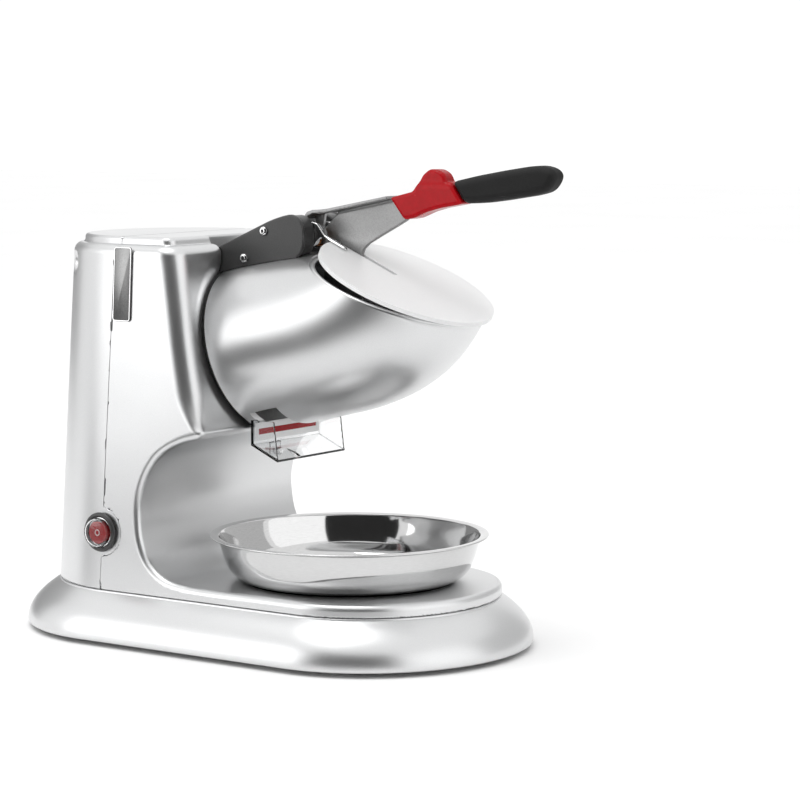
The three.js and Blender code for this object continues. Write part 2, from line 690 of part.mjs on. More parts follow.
function makePusher() {
  const steps = 24;
  const face = (off) => {
    const points = [];
    for (let i = 0; i < steps; i++) {
      const turn = 2 * Math.PI * i / steps;
      const [x, z] = pusherPoint(35 - 35 * Math.cos(turn), off);
      points.push(new THREE.Vector3(x, 38 * Math.sin(turn), z));
    }
    return points;
  };
  put('ice_pusher', loft([face(-2), face(2)]), castAluminium);
}

// ---- spring ----

class SpringCurve extends THREE.Curve {
  getPoint(t, target = new THREE.Vector3()) {
    const legs = 0.12;
    const turns = 2.5;
    const coil = THREE.MathUtils.clamp((t - legs) / (1 - 2 * legs), 0, 1);
    const turn = Math.PI * 0.5 + coil * turns * 2 * Math.PI;
    const radius = 5.6;
    const y = THREE.MathUtils.lerp(-7.5, -4.1, coil);
    target.set(PIN.x + radius * Math.cos(turn), y, PIN.z + radius * Math.sin(turn));
    const run = 11;
    if (t < legs) target.x -= run * (legs - t) / legs;
    if (t > 1 - legs) target.x += run * (t - 1 + legs) / legs;
    return target;
  }
}

function makeSpring() {
  const wire = new THREE.Shape();
  wire.absarc(0, 0, 0.6, 0, 2 * Math.PI);
  const options = { steps: 46, extrudePath: new SpringCurve(), curveSegments: 3 };
  put('hinge_spring', new THREE.ExtrudeGeometry(wire, options), copper);
}

// ---- motor, shaft and blades, all on the tilted axis ----

function makeMotor() {
  const flange = [[16, -8], [31.6, -8], [31.6, GAP], [58.4, GAP], [58.4, 5], [24, 5], [21, 10],
    [12, 10], [12, 4.9], [16, 4.9], [16, -8]];
  put('mounting_flange', turned(flange, 28), castAluminium, motorLine);
  put('front_bearing', ring(8.3, 15.7, -7.6, 0, 24), steel, motorLine);
  put('shaft_seal', ring(8.3, 15.7, 0.4, 4.5, 24), rubber, motorLine);
  const frontBell = [[16.5, -13], [16.5, -8.4], [51, -8.4], [51, -44.8], [48.4, -44.8], [48.4, -13],
    [16.5, -13]];
  put('motor_front_bell', turned(frontBell, 32), castAluminium, motorLine);
  put('front_winding', ring(31, 45, -23, -14, 28), copper, motorLine);
  put('motor_stator', ring(28, 48, -66, -23.5, 32), steel, motorLine);
  put('rear_winding', ring(31, 45, -75.5, -66.5, 28), copper, motorLine);
  put('motor_rotor', ring(8.3, 27.2, -66, -23.5, 28), steel, motorLine);
  const rearBell = [[12.3, -84], [51, -84], [51, -45.2], [48.4, -45.2], [48.4, -79.5], [18, -79.5],
    [18, -76], [12.3, -76], [12.3, -84]];
  put('motor_rear_bell', turned(rearBell, 28), castAluminium, motorLine);
  put('rear_bearing', ring(6.3, 12, -83.5, -76.5, 24), steel, motorLine);
  const shaft = [[0, -101], [6, -101], [6, -75], [8, -75], [8, 20], [6, 20], [6, 32.4], [0, 32.4]];
  put('motor_shaft', turned(shaft, 24), steel, motorLine);
  makeFan();
}

function makeFan() {
  const blades = [];
  const count = 7;
  for (let i = 0; i < count; i++) {
    const blade = new THREE.BoxGeometry(27, 1.6, 11).rotateX(0.5).translate(24, 0, -93);
    blades.push(blade.rotateZ(2 * Math.PI * i / count));
  }
  put('cooling_fan', joined(ring(6.3, 13, -99, -87, 28), ...blades), blackSatin, motorLine);
}

function makeBlades() {
  const hub = [[6.3, 20.3], [14, 20.3], [14, 24], [56, 24], [56, 27], [6.3, 27], [6.3, 20.3]];
  const slots = [];
  const bladePlaces = [0, Math.PI];
  bladePlaces.forEach((turn) => slots.push(block(18, 52, -3, 5, 20, 30).rotateZ(turn)));
  put('blade_disc', cut(toManifold(turned(hub, 36)), ...slots), steel, motorLine);
  bladePlaces.forEach((turn, index) => {
    const outline = new THREE.Shape([[17, -7], [53, -7], [53, 2.6],
      [17, 2.6]].map(([x, y]) => new THREE.Vector2(x, y)));
    const options = { depth: 1.6, bevelEnabled: false };
    const blade = put(`blade_${index + 1}`, new THREE.ExtrudeGeometry(outline, options), chrome, motorLine);
    blade.position.z = 27.3;
    blade.rotation.z = turn;
  });
  put('disc_nut', cut(toManifold(disc(10.5, 27.3, 31.4, 6)), disc(6.3, 20, 40, 16)), chrome, motorLine);
}

// ---- electrics in the tower ----

function makeElectrics() {
  const can = put('capacitor', turned([[0, 0], [14, 0], [14, 43], [12.5, 45], [0, 45]], 24), whiteSteel);
  can.position.set(-125, 42, BASE.top + GAP + 2.3);
  const band = ring(14.3, 15.8, 0, 10, 20);
  const clip = put('capacitor_clip', joined(band, block(15, 24, -5, 5, 0, 1.8)), steel);
  clip.position.set(-125, 42, 58);
  const gland = [[3.2, -9], [6, -9], [6, GAP], [9, GAP], [9, 1.8], [5.4, 8], [3.2, 8], [3.2, -9]];
  const inlet = put('cord_inlet', turned(gland, 16), rubber);
  inlet.position.set(-174.1, 0, 58);
  inlet.rotation.y = -Math.PI / 2;
}

// ---- bowl ----

function makeBowl() {
  const outside = [[0, 0], [73, 0], [78.5, 1.4], [84, 5.4], [88, 11.4], [91, 19], [93.3, 27],
    [94.8, 31], [99, 31.6],
    [100, 32.4], [99.2, 33.2]];
  const inside = [[94, 32.6], [92.1, 27.4], [89.8, 19.4], [86.9, 12], [83.2, 6.6], [78, 2.7],
    [72.8, 1.2], [0, 1.2]];
  const bowl = put('bowl', turned([...outside, ...inside], 36), mirrorSteel);
  bowl.position.set(BOWL_X, 0, PLATFORM_TOP + GAP);
}

makeBase();
makeHousings();
makeBadge();
makeSwitch();
makeHopper();
makeChute();
makeBracket();
makeMicroSwitch();
makeLid();
makeHandle();
makePusher();
makeSpring();
makeMotor();
makeBlades();
makeElectrics();
makeBowl();

const shavedIceMachine = new THREE.Group();
shavedIceMachine.name = 'shaved_ice_machine';
shavedIceMachine.add(machine);

export default shavedIceMachine;
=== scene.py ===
import math

import bmesh
import bpy
import numpy as np
from mathutils import Matrix, Vector


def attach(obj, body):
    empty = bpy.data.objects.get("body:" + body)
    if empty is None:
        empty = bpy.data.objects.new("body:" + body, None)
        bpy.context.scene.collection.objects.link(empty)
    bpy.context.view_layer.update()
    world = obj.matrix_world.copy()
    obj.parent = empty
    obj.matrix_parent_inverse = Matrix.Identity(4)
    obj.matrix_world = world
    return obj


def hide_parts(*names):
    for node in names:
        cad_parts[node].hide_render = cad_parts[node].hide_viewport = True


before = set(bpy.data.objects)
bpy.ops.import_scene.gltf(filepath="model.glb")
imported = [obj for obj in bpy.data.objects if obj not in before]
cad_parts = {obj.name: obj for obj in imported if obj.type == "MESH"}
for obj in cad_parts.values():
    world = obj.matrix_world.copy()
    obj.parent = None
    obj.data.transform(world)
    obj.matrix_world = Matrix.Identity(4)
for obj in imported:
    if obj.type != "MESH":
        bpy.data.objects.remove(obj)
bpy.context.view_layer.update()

# Shapes are worked out in millimetres about the middle of the base, +X towards the
# user and +Z up, as the part is. SHIFT and MM take them to the row frame.
SHIFT = -21.0
MM = 0.001

WALL = 3.0
TOWER_LOW, TOWER_HIGH = 37.3, 285.0
HALF_LOW, HALF_HIGH = 96.5, 82.2
REAR_LOW, REAR_HIGH = -174.8, -161.5
CAP_FRONT, CAP_REAR = 0.9, 0.95
PLATFORM_TOP = 46.3
PLATFORM_TIP = 177.2
SHOULDER_TOP = 285.2
PLATEAU_TOP = 291.0
PLATEAU_INSET = 7.8
SEAM_LOW, SEAM_HIGH = -85.6, -80.0
SEAM_GAP = 0.25
SWITCH_X, SWITCH_Y, SWITCH_Z = -85.0, -95.2, 79.0
SWITCH_TAB = 17.5

AXIS_TILT = math.radians(16)
AXIS_X, AXIS_Z = -12.7, 208.9
COLLAR = 63.0
HOPPER_WALL = 4.0

PIN_X, PIN_Z, PIN_RADIUS = 41.0, 291.0, 3.5
LID_X, LID_Z, LID_RADIUS = 116.2, 261.0, 64.8
LID_TILT = math.radians(24)
COVER_Y, COVER_THICK = 24.0, 3.0
BOWL_X = 67.0


# ---------------------------------------------------------------- solids from fields
# A field is a function of x, y and z, in millimetres, that is below zero inside the
# shape and close to the distance from its surface.

def both(a, b, radius=0.0):
    """Inside a and b, with the edge between them rounded to that radius."""
    if not np.any(radius):
        return np.maximum(a, b)
    beyond = np.hypot(np.maximum(a + radius, 0), np.maximum(b + radius, 0))
    return np.minimum(-radius, np.maximum(a, b)) + beyond


def either(a, b, radius=0.0):
    return -both(-a, -b, radius)


def less(a, b, radius=0.0):
    return both(a, -b, radius)


def lerp(a, b, share):
    return a + (b - a) * share


def ease(low, high, value):
    share = np.clip((value - low) / (high - low), 0, 1)
    return share * share * (3 - 2 * share)


def box_field(x, y, z, low, high, radius=0.0):
    sides = [np.abs(v - (a + b) / 2) - (b - a) / 2 for v, a, b in zip((x, y, z), low, high)]
    return both(both(sides[0], sides[1], radius), sides[2], radius)


def spline(points, steps):
    """A Catmull-Rom curve through [x, z] points, as an array of steps + 1 points."""
    points = np.array(points, float)
    ends = np.vstack([points[0], points, points[-1]])
    found = []
    for share in np.linspace(0, len(points) - 1, steps + 1):
        k = min(int(share), len(points) - 2)
        t = share - k
        a, b, c, d = ends[k:k + 4]
        v0, v1 = (c - a) / 2, (d - b) / 2
        found.append((2 * b - 2 * c + v0 + v1) * t ** 3 + (3 * c - 3 * b - 2 * v0 - v1) * t * t + v0 * t + b)
    return np.array(found)


def rounded(points, radius, steps=6):
    """The outline with each corner cut back by up to radius and bent round."""
    points = np.array(points, float)
    found = []
    for k, here in enumerate(points):
        legs = []
        for other in (points[k - 1], points[(k + 1) % len(points)]):
            away = other - here
            legs.append(here + away * min(radius / np.linalg.norm(away), 0.49))
        for t in np.linspace(0, 1, steps + 1):
            found.append((1 - t) ** 2 * legs[0] + 2 * t * (1 - t) * here + t * t * legs[1])
    return np.array(found)


class Outline:
    """The distance from a closed outline of [x, z] points, read from a fine table."""

    def __init__(self, points, spacing=0.5, margin=8.0):
        points = np.array(points, float)
        self.low = points.min(0) - margin
        self.spacing = spacing
        counts = np.ceil((points.max(0) + margin - self.low) / spacing).astype(int) + 4
        x, z = np.meshgrid(*[self.low[k] + spacing * np.arange(counts[k]) for k in range(2)], indexing="ij")
        nearest = np.full(x.shape, np.inf)
        inside = np.zeros(x.shape, bool)
        for start, end in zip(points, np.roll(points, -1, axis=0)):
            run = end - start
            length = run @ run
            if length < 1e-12:
                continue
            t = np.clip(((x - start[0]) * run[0] + (z - start[1]) * run[1]) / length, 0, 1)
            apart = (x - start[0] - t * run[0]) ** 2 + (z - start[1] - t * run[1]) ** 2
            np.minimum(nearest, apart, out=nearest)
            if start[1] != end[1]:
                crosses = (start[1] > z) != (end[1] > z)
                inside ^= crosses & (x < run[0] * (z - start[1]) / run[1] + start[0])
        self.table = np.where(inside, -1, 1) * np.sqrt(nearest)

    def __call__(self, x, z):
        places = [np.clip((v - self.low[k]) / self.spacing, 1, self.table.shape[k] - 3.001)
                  for k, v in enumerate((x, z))]
        whole = [p.astype(int) for p in places]
        weights = []
        for place, cell in zip(places, whole):
            t = place - cell
            weights.append([
                ((2 - t) * t - 1) * t / 2,
                ((3 * t - 5) * t * t + 2) / 2,
                ((4 - 3 * t) * t + 1) * t / 2,
                (t - 1) * t * t / 2,
            ])
        total = 0.0
        for i in range(4):
            for k in range(4):
                read = self.table[whole[0] + i - 1, whole[1] + k - 1]
                total = total + weights[0][i] * weights[1][k] * read
        return total


def surface_net(field, low, high, step):
    """Points and quads of the surface where the field is zero, on a grid of that step."""
    axes = [np.arange(low[k] - 2.5 * step, high[k] + 3 * step, step) for k in range(3)]
    grid = field(axes[0][:, None, None], axes[1][None, :, None], axes[2][None, None, :])
    value = np.broadcast_to(grid, [len(a) for a in axes]).astype(np.float32)
    inside = value < 0
    shape = [n - 1 for n in value.shape]

    def corner(array, dx, dy, dz):
        return array[dx:shape[0] + dx, dy:shape[1] + dy, dz:shape[2] + dz]

    corners = [(dx, dy, dz) for dx in (0, 1) for dy in (0, 1) for dz in (0, 1)]
    count = sum(corner(inside, *c).astype(np.int8) for c in corners)
    mixed = (count > 0) & (count < 8)
    cells = np.argwhere(mixed)
    number = np.full(shape, -1, np.int64)
    number[mixed] = np.arange(len(cells))
    total = np.zeros((len(cells), 3))
    crossings = np.zeros(len(cells))
    for a in corners:
        for axis in range(3):
            if a[axis]:
                continue
            b = tuple(1 if k == axis else a[k] for k in range(3))
            here, there = corner(value, *a)[mixed], corner(value, *b)[mixed]
            crossed = (here < 0) != (there < 0)
            share = np.where(crossed, here / np.where(crossed, here - there, 1), 0)
            place = np.array(a, float)[None, :] + share[:, None] * np.eye(3)[axis]
            total[crossed] += place[crossed]
            crossings[crossed] += 1
    origin = np.array([a[0] for a in axes])
    points = origin + (cells + total / crossings[:, None]) * step

    quads = []
    for axis in range(3):
        u, v = (axis + 1) % 3, (axis + 2) % 3
        first = np.moveaxis(inside, (axis, u, v), (0, 1, 2))
        ids = np.moveaxis(number, (axis, u, v), (0, 1, 2))
        here, there = first[:-1, 1:-1, 1:-1], first[1:, 1:-1, 1:-1]
        for crossed, order in (((here & ~there), 1), ((~here & there), -1)):
            i, j, k = np.nonzero(crossed)
            around = [ids[i, j, k], ids[i, j + 1, k], ids[i, j + 1, k + 1], ids[i, j, k + 1]]
            quads.append(np.stack(around[::order], 1))
    return points, np.vstack(quads)


def slope_of(field, points, reach=0.12):
    """The field at the points and its gradient."""
    slope = np.empty_like(points)
    for axis in range(3):
        aside = np.zeros(3)
        aside[axis] = reach
        slope[:, axis] = (field(*(points + aside).T) - field(*(points - aside).T)) / (2 * reach)
    return field(*points.T), slope


def settle(field, points, quads, step):
    """Evens the points out along the surface and brings them onto it exactly."""
    edges = np.vstack([quads[:, [k, (k + 1) % 4]] for k in range(4)])
    count = np.bincount(edges.ravel(), minlength=len(points))[:, None]
    for even in (True, True, False, False):
        if even:
            total = np.zeros_like(points)
            for k in range(3):
                total[:, k] += np.bincount(edges[:, 0], points[edges[:, 1], k], len(points))
                total[:, k] += np.bincount(edges[:, 1], points[edges[:, 0], k], len(points))
            points = lerp(points, total / count, 0.5)
        value, slope = slope_of(field, points)
        steepness = np.maximum((slope ** 2).sum(1), 0.05)
        move = np.clip(value / steepness, -step, step)[:, None] * slope
        points = points - move
    slope = slope_of(field, points)[1]
    return points, slope / np.maximum(np.linalg.norm(slope, axis=1, keepdims=True), 1e-9)


# ---------------------------------------------------------------- meshes

def to_row(points):
    return (np.asarray(points, float) + [SHIFT, 0, 0]) * MM


def piece(name, points, faces, body, slot, stands_for=(), angle=35.0, normals=None):
    """A mesh object from points in millimetres, with its finish, riding on its body."""
    mesh = bpy.data.meshes.new(name)
    mesh.from_pydata(to_row(points).tolist(), [], [list(map(int, f)) for f in faces])
    mesh.update()
    shown = bpy.data.objects.new(name, mesh)
    bpy.context.scene.collection.objects.link(shown)
    mesh.shade_smooth()
    if normals is not None:
        mesh.normals_split_custom_set_from_vertices(normals.tolist())
    elif angle < 180:
        mesh.set_sharp_from_angle(angle=math.radians(angle))
    mesh.materials.append(FINISHES[slot])
    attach(shown, body)
    if stands_for:
        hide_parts(*stands_for)
    return shown


def crease(points, normals, outside, cut, step):
    """Brings the points beside a cut onto its edge, so that the edge is one clean line."""
    for _ in range(3):
        beside = (np.abs(cut(*points.T)) < 0.6 * step) & (np.abs(outside(*points.T)) < 0.6 * step)
        value, slope = slope_of(cut, points[beside])
        points[beside] -= value[:, None] * slope / np.maximum((slope ** 2).sum(1, keepdims=True), 0.05)
        value, slope = slope_of(outside, points[beside])
        points[beside] -= value[:, None] * slope / np.maximum((slope ** 2).sum(1, keepdims=True), 0.05)
        normals[beside] = slope / np.maximum(np.linalg.norm(slope, axis=1, keepdims=True), 1e-9)
    return points, normals


def field_piece(name, field, low, high, step, body, slot, stands_for=(), cut=None):
    """A piece whose surface is where the field is zero."""
    points, quads = surface_net(field, low, high, step)
    points, normals = settle(field, points, quads, step)
    if cut is not None:
        points, normals = crease(points, normals, tower_outside, cut, step)
    return piece(name, points, quads, body, slot, stands_for, normals=normals)


def tube_faces(rings, count, closed):
    """Quads between rings of equal count, closed into a loop of rings or with flat ends."""
    faces = []
    for r in range(rings if closed else rings - 1):
        here, there = r * count, (r + 1) % rings * count
        for i in range(count):
            k = (i + 1) % count
            faces.append([here + i, here + k, there + k, there + i])
    if not closed:
        faces.append(list(range(count))[::-1])
        faces.append([(rings - 1) * count + i for i in range(count)])
    return faces


def ring_piece(name, rings, body, slot, stands_for=(), closed=False, angle=35.0):
    """A piece lofted through rings of points, checked so that its faces look out."""
    count = len(rings[0])
    points = np.array(rings, float).reshape(-1, 3)
    faces = tube_faces(len(rings), count, closed)
    shown = piece(name, points, faces, body, slot, stands_for, angle)
    face_out(shown)
    return shown


def face_out(shown):
    """Turns the faces outwards and drops points that lie on each other."""
    work = bmesh.new()
    work.from_mesh(shown.data)
    bmesh.ops.remove_doubles(work, verts=work.verts, dist=1e-7)
    bmesh.ops.recalc_face_normals(work, faces=work.faces)
    work.to_mesh(shown.data)
    work.free()


def turned(name, profile, body, slot, place, stands_for=(), count=96, angle=35.0, closed=False):
    """A lathe of [radius, height] pairs. place takes its points to millimetres."""
    turns = np.linspace(0, 2 * math.pi, count, endpoint=False)
    rings = []
    for radius, height in profile:
        radius = max(radius, 1e-3)
        ring = np.stack([radius * np.cos(turns), radius * np.sin(turns), np.full(count, height)], 1)
        rings.append([place @ Vector(point) for point in ring])
    return ring_piece(name, rings, body, slot, stands_for, closed, angle)


def plate(name, outline, y0, y1, body, slot, stands_for=(), edge=0.5, bends=3, place=None):
    """An [x, z] outline made solid between two y values, its rims rounded by edge."""
    outline = np.array(outline, float)
    work = bmesh.new()
    low = [work.verts.new((x, y0, z)) for x, z in outline]
    high = [work.verts.new((x, y1, z)) for x, z in outline]
    count = len(outline)
    caps = [work.faces.new(low), work.faces.new(high[::-1])]
    for k in range(count):
        n = (k + 1) % count
        work.faces.new([low[n], low[k], high[k], high[n]])
    rims = list({e for cap in caps for e in cap.edges})
    if edge:
        bmesh.ops.bevel(work, geom=rims, offset=edge, segments=bends, profile=0.5, affect="EDGES")
    bmesh.ops.recalc_face_normals(work, faces=work.faces)
    points = [v.co.copy() for v in work.verts]
    if place is not None:
        points = [place @ p for p in points]
    work.verts.index_update()
    faces = [[v.index for v in f.verts] for f in work.faces]
    work.free()
    return piece(name, np.array(points), faces, body, slot, stands_for)


FEWEST_FACES = 100


def carve(shown, *cutters):
    """Takes the cutters out of a piece and removes them. A piece lost in the cut is an error."""
    for cutter in cutters:
        modifier = shown.modifiers.new("carve", "BOOLEAN")
        modifier.operation = "DIFFERENCE"
        modifier.solver = "EXACT"
        modifier.object = cutter
    bpy.context.view_layer.update()
    graph = bpy.context.evaluated_depsgraph_get()
    carved = bpy.data.meshes.new_from_object(shown.evaluated_get(graph))
    if len(carved.polygons) < FEWEST_FACES:
        raise ValueError(shown.name + " was lost in a cut")
    shown.modifiers.clear()
    shown.data = carved
    for cutter in cutters:
        bpy.data.objects.remove(cutter)
    shown.data.set_sharp_from_angle(angle=math.radians(35))
    return shown


def mirrored(name, original, slot, stands_for):
    """The same piece on the machine's other side."""
    points = np.array([v.co for v in original.data.vertices]) / MM - [SHIFT, 0, 0]
    faces = [list(f.vertices)[::-1] for f in original.data.polygons]
    return piece(name, points * [1, -1, 1], faces, "machine", slot, stands_for)


def cutter_block(x0, x1, y0, y1, z0, z1):
    work = bmesh.new()
    bmesh.ops.create_cube(work, size=1)
    low, high = to_row([x0, y0, z0]), to_row([x1, y1, z1])
    for vert in work.verts:
        vert.co = Vector([lerp(low[k], high[k], vert.co[k] + 0.5) for k in range(3)])
    mesh = bpy.data.meshes.new("cutter")
    work.to_mesh(mesh)
    work.free()
    cutter = bpy.data.objects.new("cutter", mesh)
    bpy.context.scene.collection.objects.link(cutter)
    return cutter


def along(direction, place):
    """Takes local +Z to the direction, and the local origin to the place."""
    turn = Vector((0, 0, 1)).rotation_difference(Vector(direction)).to_matrix().to_4x4()
    return Matrix.Translation(Vector(place)) @ turn


MOTOR_AXIS = along((math.cos(AXIS_TILT), 0, math.sin(AXIS_TILT)), (AXIS_X, 0, AXIS_Z))
LID_PLACE = Matrix.Translation((LID_X, 0, LID_Z)) @ Matrix.Rotation(LID_TILT, 4, "Y")


# ---------------------------------------------------------------- materials

def add_noise(nodes, links, scale, detail, stretch=(1, 1, 1)):
    """Noise over the piece's own metres. A stretch above 1 makes it finer that way."""
    place = nodes.new("ShaderNodeTexCoord")
    mapping = nodes.new("ShaderNodeMapping")
    mapping.inputs["Scale"].default_value = stretch
    links.new(place.outputs["Object"], mapping.inputs["Vector"])
    noise = nodes.new("ShaderNodeTexNoise")
    noise.inputs["Scale"].default_value = scale
    noise.inputs["Detail"].default_value = detail
    links.new(mapping.outputs["Vector"], noise.inputs["Vector"])
    return noise


def spread(nodes, links, noise, low, high):
    """The noise's middle range, mapped to values from low to high."""
    ranged = nodes.new("ShaderNodeMapRange")
    ranged.inputs["From Min"].default_value = 0.3
    ranged.inputs["From Max"].default_value = 0.7
    ranged.inputs["To Min"].default_value = low
    ranged.inputs["To Max"].default_value = high
    links.new(noise.outputs["Fac"], ranged.inputs["Value"])
    return ranged.outputs["Result"]


def finish(name, dark, light, rough, metallic=0.0, grain=600, stretch=(1, 1, 1), bump=0.1,
           depth=0.00005, blotch=25, **sockets):
    """A finish whose colour, roughness and relief vary with noise at two scales."""
    material = bpy.data.materials.new(name)
    material.use_nodes = True
    nodes, links = material.node_tree.nodes, material.node_tree.links
    shader = nodes["Principled BSDF"]
    shader.inputs["Metallic"].default_value = metallic
    fine = add_noise(nodes, links, grain, 3, stretch)
    broad = add_noise(nodes, links, blotch, 4)
    ramp = nodes.new("ShaderNodeValToRGB")
    ramp.color_ramp.elements[0].position = 0.3
    ramp.color_ramp.elements[1].position = 0.7
    ramp.color_ramp.elements[0].color = (*dark, 1)
    ramp.color_ramp.elements[1].color = (*light, 1)
    links.new(fine.outputs["Fac"], ramp.inputs["Fac"])
    links.new(ramp.outputs["Color"], shader.inputs["Base Color"])
    both_scales = nodes.new("ShaderNodeMath")
    both_scales.operation = "ADD"
    middle = (rough[0] + rough[1]) / 2
    reach = (rough[1] - rough[0]) / 2
    links.new(spread(nodes, links, broad, middle - reach, middle + reach), both_scales.inputs[0])
    links.new(spread(nodes, links, fine, -reach / 2, reach / 2), both_scales.inputs[1])
    links.new(both_scales.outputs["Value"], shader.inputs["Roughness"])
    relief = nodes.new("ShaderNodeBump")
    relief.inputs["Strength"].default_value = bump
    relief.inputs["Distance"].default_value = depth
    links.new(fine.outputs["Fac"], relief.inputs["Height"])
    links.new(relief.outputs["Normal"], shader.inputs["Normal"])
    for socket, value in sockets.items():
        shader.inputs[socket.replace("_", " ")].default_value = value
    return material


def grey(value, blue=0.0):
    return (value, value + blue / 2, value + blue)


FINISHES = {
    "silver_paint": finish("silver_paint", grey(0.65, 0.008), grey(0.72, 0.008), (0.31, 0.36), 0.96,
                           grain=2600, bump=0.1, depth=0.00003, blotch=14, Coat_Weight=0.1, Coat_Roughness=0.15),
    "zinc_steel": finish("zinc_steel", grey(0.42), grey(0.58), (0.38, 0.55), 1.0, grain=180, bump=0.1),
    "plain_steel": finish("plain_steel", grey(0.48), grey(0.6), (0.25, 0.4), 1.0, grain=500,
                          stretch=(1, 1, 12), bump=0.15),
    "black_rubber": finish("black_rubber", grey(0.012), grey(0.024), (0.65, 0.85), grain=900, bump=0.5),
    "black_satin": finish("black_satin", grey(0.022), grey(0.034), (0.32, 0.42), grain=1400, bump=0.25,
                          Coat_Weight=0.1, Coat_Roughness=0.3),
    "cast_metal": finish("cast_metal", grey(0.27), grey(0.36), (0.34, 0.44), 0.95, grain=1100, bump=0.35,
                         depth=0.00008),
    "clear_plastic": finish("clear_plastic", grey(0.93, 0.01), grey(0.96, 0.01), (0.02, 0.06), grain=60,
                            bump=0.04, Transmission_Weight=1.0, IOR=1.45),
    "red_gloss": finish("red_gloss", (0.30, 0.002, 0.005), (0.35, 0.003, 0.007), (0.22, 0.28), grain=300,
                        bump=0.06, Coat_Weight=0.03, Coat_Roughness=0.08, Specular_IOR_Level=0.14),
    "white_label": finish("white_label", grey(0.82), grey(0.88), (0.35, 0.45), grain=1500, bump=0.1),
    "chrome_plate": finish("chrome_plate", grey(0.80), grey(0.86), (0.06, 0.12), 1.0, grain=400, bump=0.04),
    "copper_wire": finish("copper_wire", (0.50, 0.22, 0.09), (0.62, 0.30, 0.13), (0.22, 0.32), 1.0,
                          grain=900, bump=0.1),
    "frosted_plastic": finish("frosted_plastic", grey(0.86, 0.004), grey(0.90, 0.004), (0.30, 0.34),
                              grain=900, bump=0.02, Transmission_Weight=0.3, IOR=1.3),
    "charcoal_grip": finish("charcoal_grip", grey(0.007), grey(0.013), (0.55, 0.68), grain=1500, bump=0.55,
                            depth=0.0001, Specular_IOR_Level=0.25),
    "mirror_steel": finish("mirror_steel", grey(0.60), grey(0.66), (0.05, 0.09), 1.0, grain=240,
                           stretch=(1, 1, 14), bump=0.03),
}


def finish_cad_nodes():
    """Gives each carried-over CAD node its finish."""
    for name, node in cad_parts.items():
        slot = node.data.materials[0].name.split(".")[0]
        node.material_slots[0].link = "OBJECT"
        node.material_slots[0].material = FINISHES[slot]


finish_cad_nodes()


# ---------------------------------------------------------------- housings

FRONT_CURVE = [[-43, 340], [-27, 285], [-20, 250], [-14, 216], [-7.5, 186], [-1.5, 163], [2.2, 155.5],
               [-2, 150.8], [-14, 147.6], [-27, 142], [-38, 133.5], [-47, 120], [-51.8, 105], [-52.2, 91],
               [-49.5, 75], [-42, 61], [-28, 50.8], [-10, 47.2], [12, PLATFORM_TOP], [40, PLATFORM_TOP]]
PROFILE = Outline(np.vstack([spline(FRONT_CURVE, 260), [[260, PLATFORM_TOP], [260, 0], [-240, 0],
                                                        [-240, 340]]]), spacing=1.0, margin=6)


def tower_side(x, y, z):
    """The outline seen from above: straight sides, a half ellipse at each end."""
    rise = (z - TOWER_LOW) / (TOWER_HIGH - TOWER_LOW)
    half = lerp(HALF_LOW, HALF_HIGH, rise)
    rear = lerp(REAR_LOW, REAR_HIGH, rise)
    deep_rear, deep_front = CAP_REAR * half, CAP_FRONT * half
    back = np.minimum(x - rear - deep_rear, 0) / deep_rear
    front = np.maximum(x - PLATFORM_TIP + deep_front, 0) / deep_front
    return half * (np.sqrt(back ** 2 + front ** 2 + (y / half) ** 2) - 1)


def tower_walls(x, y, z):
    corner = lerp(4.5, 15.0, ease(146, 182, z))
    return both(PROFILE(x, z), tower_side(x, y, z), corner)


def axis_place(x, z):
    along_axis = (x - AXIS_X) * math.cos(AXIS_TILT) + (z - AXIS_Z) * math.sin(AXIS_TILT)
    across = (z - AXIS_Z) * math.cos(AXIS_TILT) - (x - AXIS_X) * math.sin(AXIS_TILT)
    return along_axis, across


def dish(x, y, z):
    """The flared recess that the hopper sits in."""
    far, across = axis_place(x, z)
    flare = (np.hypot(across, y) - COLLAR - 1 - 0.75 * (far + 0.3)) * 0.8
    return both(-(far + 0.3), flare, 0.5)


def bracket_seat(x, y, z):
    far, across = axis_place(x, z)
    seat = box_field(x, y, z, (-39, -28, 255), (20, 28, 330))
    return less(seat, np.hypot(across, y) - COLLAR, 0)


def carry_recess(x, y, z):
    """A finger scoop on each side of the tower's back."""
    turn = np.arctan2(y, -(x + 86.5))
    turn = np.sign(turn) * np.clip(np.abs(turn), 0.81, 0.96)
    near_x, near_y = -86.5 - 82.5 * np.cos(turn), 82.5 * np.sin(turn)
    return np.sqrt((x - near_x) ** 2 + (y - near_y) ** 2 + (z - 270) ** 2) - 8.6


def tower_outside(x, y, z):
    walls = tower_walls(x, y, z)
    shoulder = both(walls, z - SHOULDER_TOP, 6.5)
    plateau = both(walls + PLATEAU_INSET, z - PLATEAU_TOP, 2.6)
    body = either(shoulder, plateau, 0.9)
    body = less(body, dish(x, y, z), 7)
    body = less(body, bracket_seat(x, y, z), 1.0)
    return less(body, carry_recess(x, y, z), 1.6)


def tower_shell(x, y, z):
    outside = tower_outside(x, y, z)
    shell = both(outside, -(outside + WALL))
    return both(shell, TOWER_LOW - z, 0.4)


def rear_region(x, y, z):
    """Behind the seam, which bulges forward round the switch on one side."""
    seam = lerp(SEAM_LOW, SEAM_HIGH, (z - TOWER_LOW) / (TOWER_HIGH - TOWER_LOW))
    tab = both(np.hypot(x - SWITCH_X, z - SWITCH_Z) - SWITCH_TAB, y)
    return either(x - seam, tab, 2.0)


def front_housing(x, y, z):
    far, across = axis_place(x, z)
    shell = less(tower_shell(x, y, z), rear_region(x, y, z) - SEAM_GAP)
    return less(shell, both(np.hypot(across, y) - 32, np.abs(far) - 20))


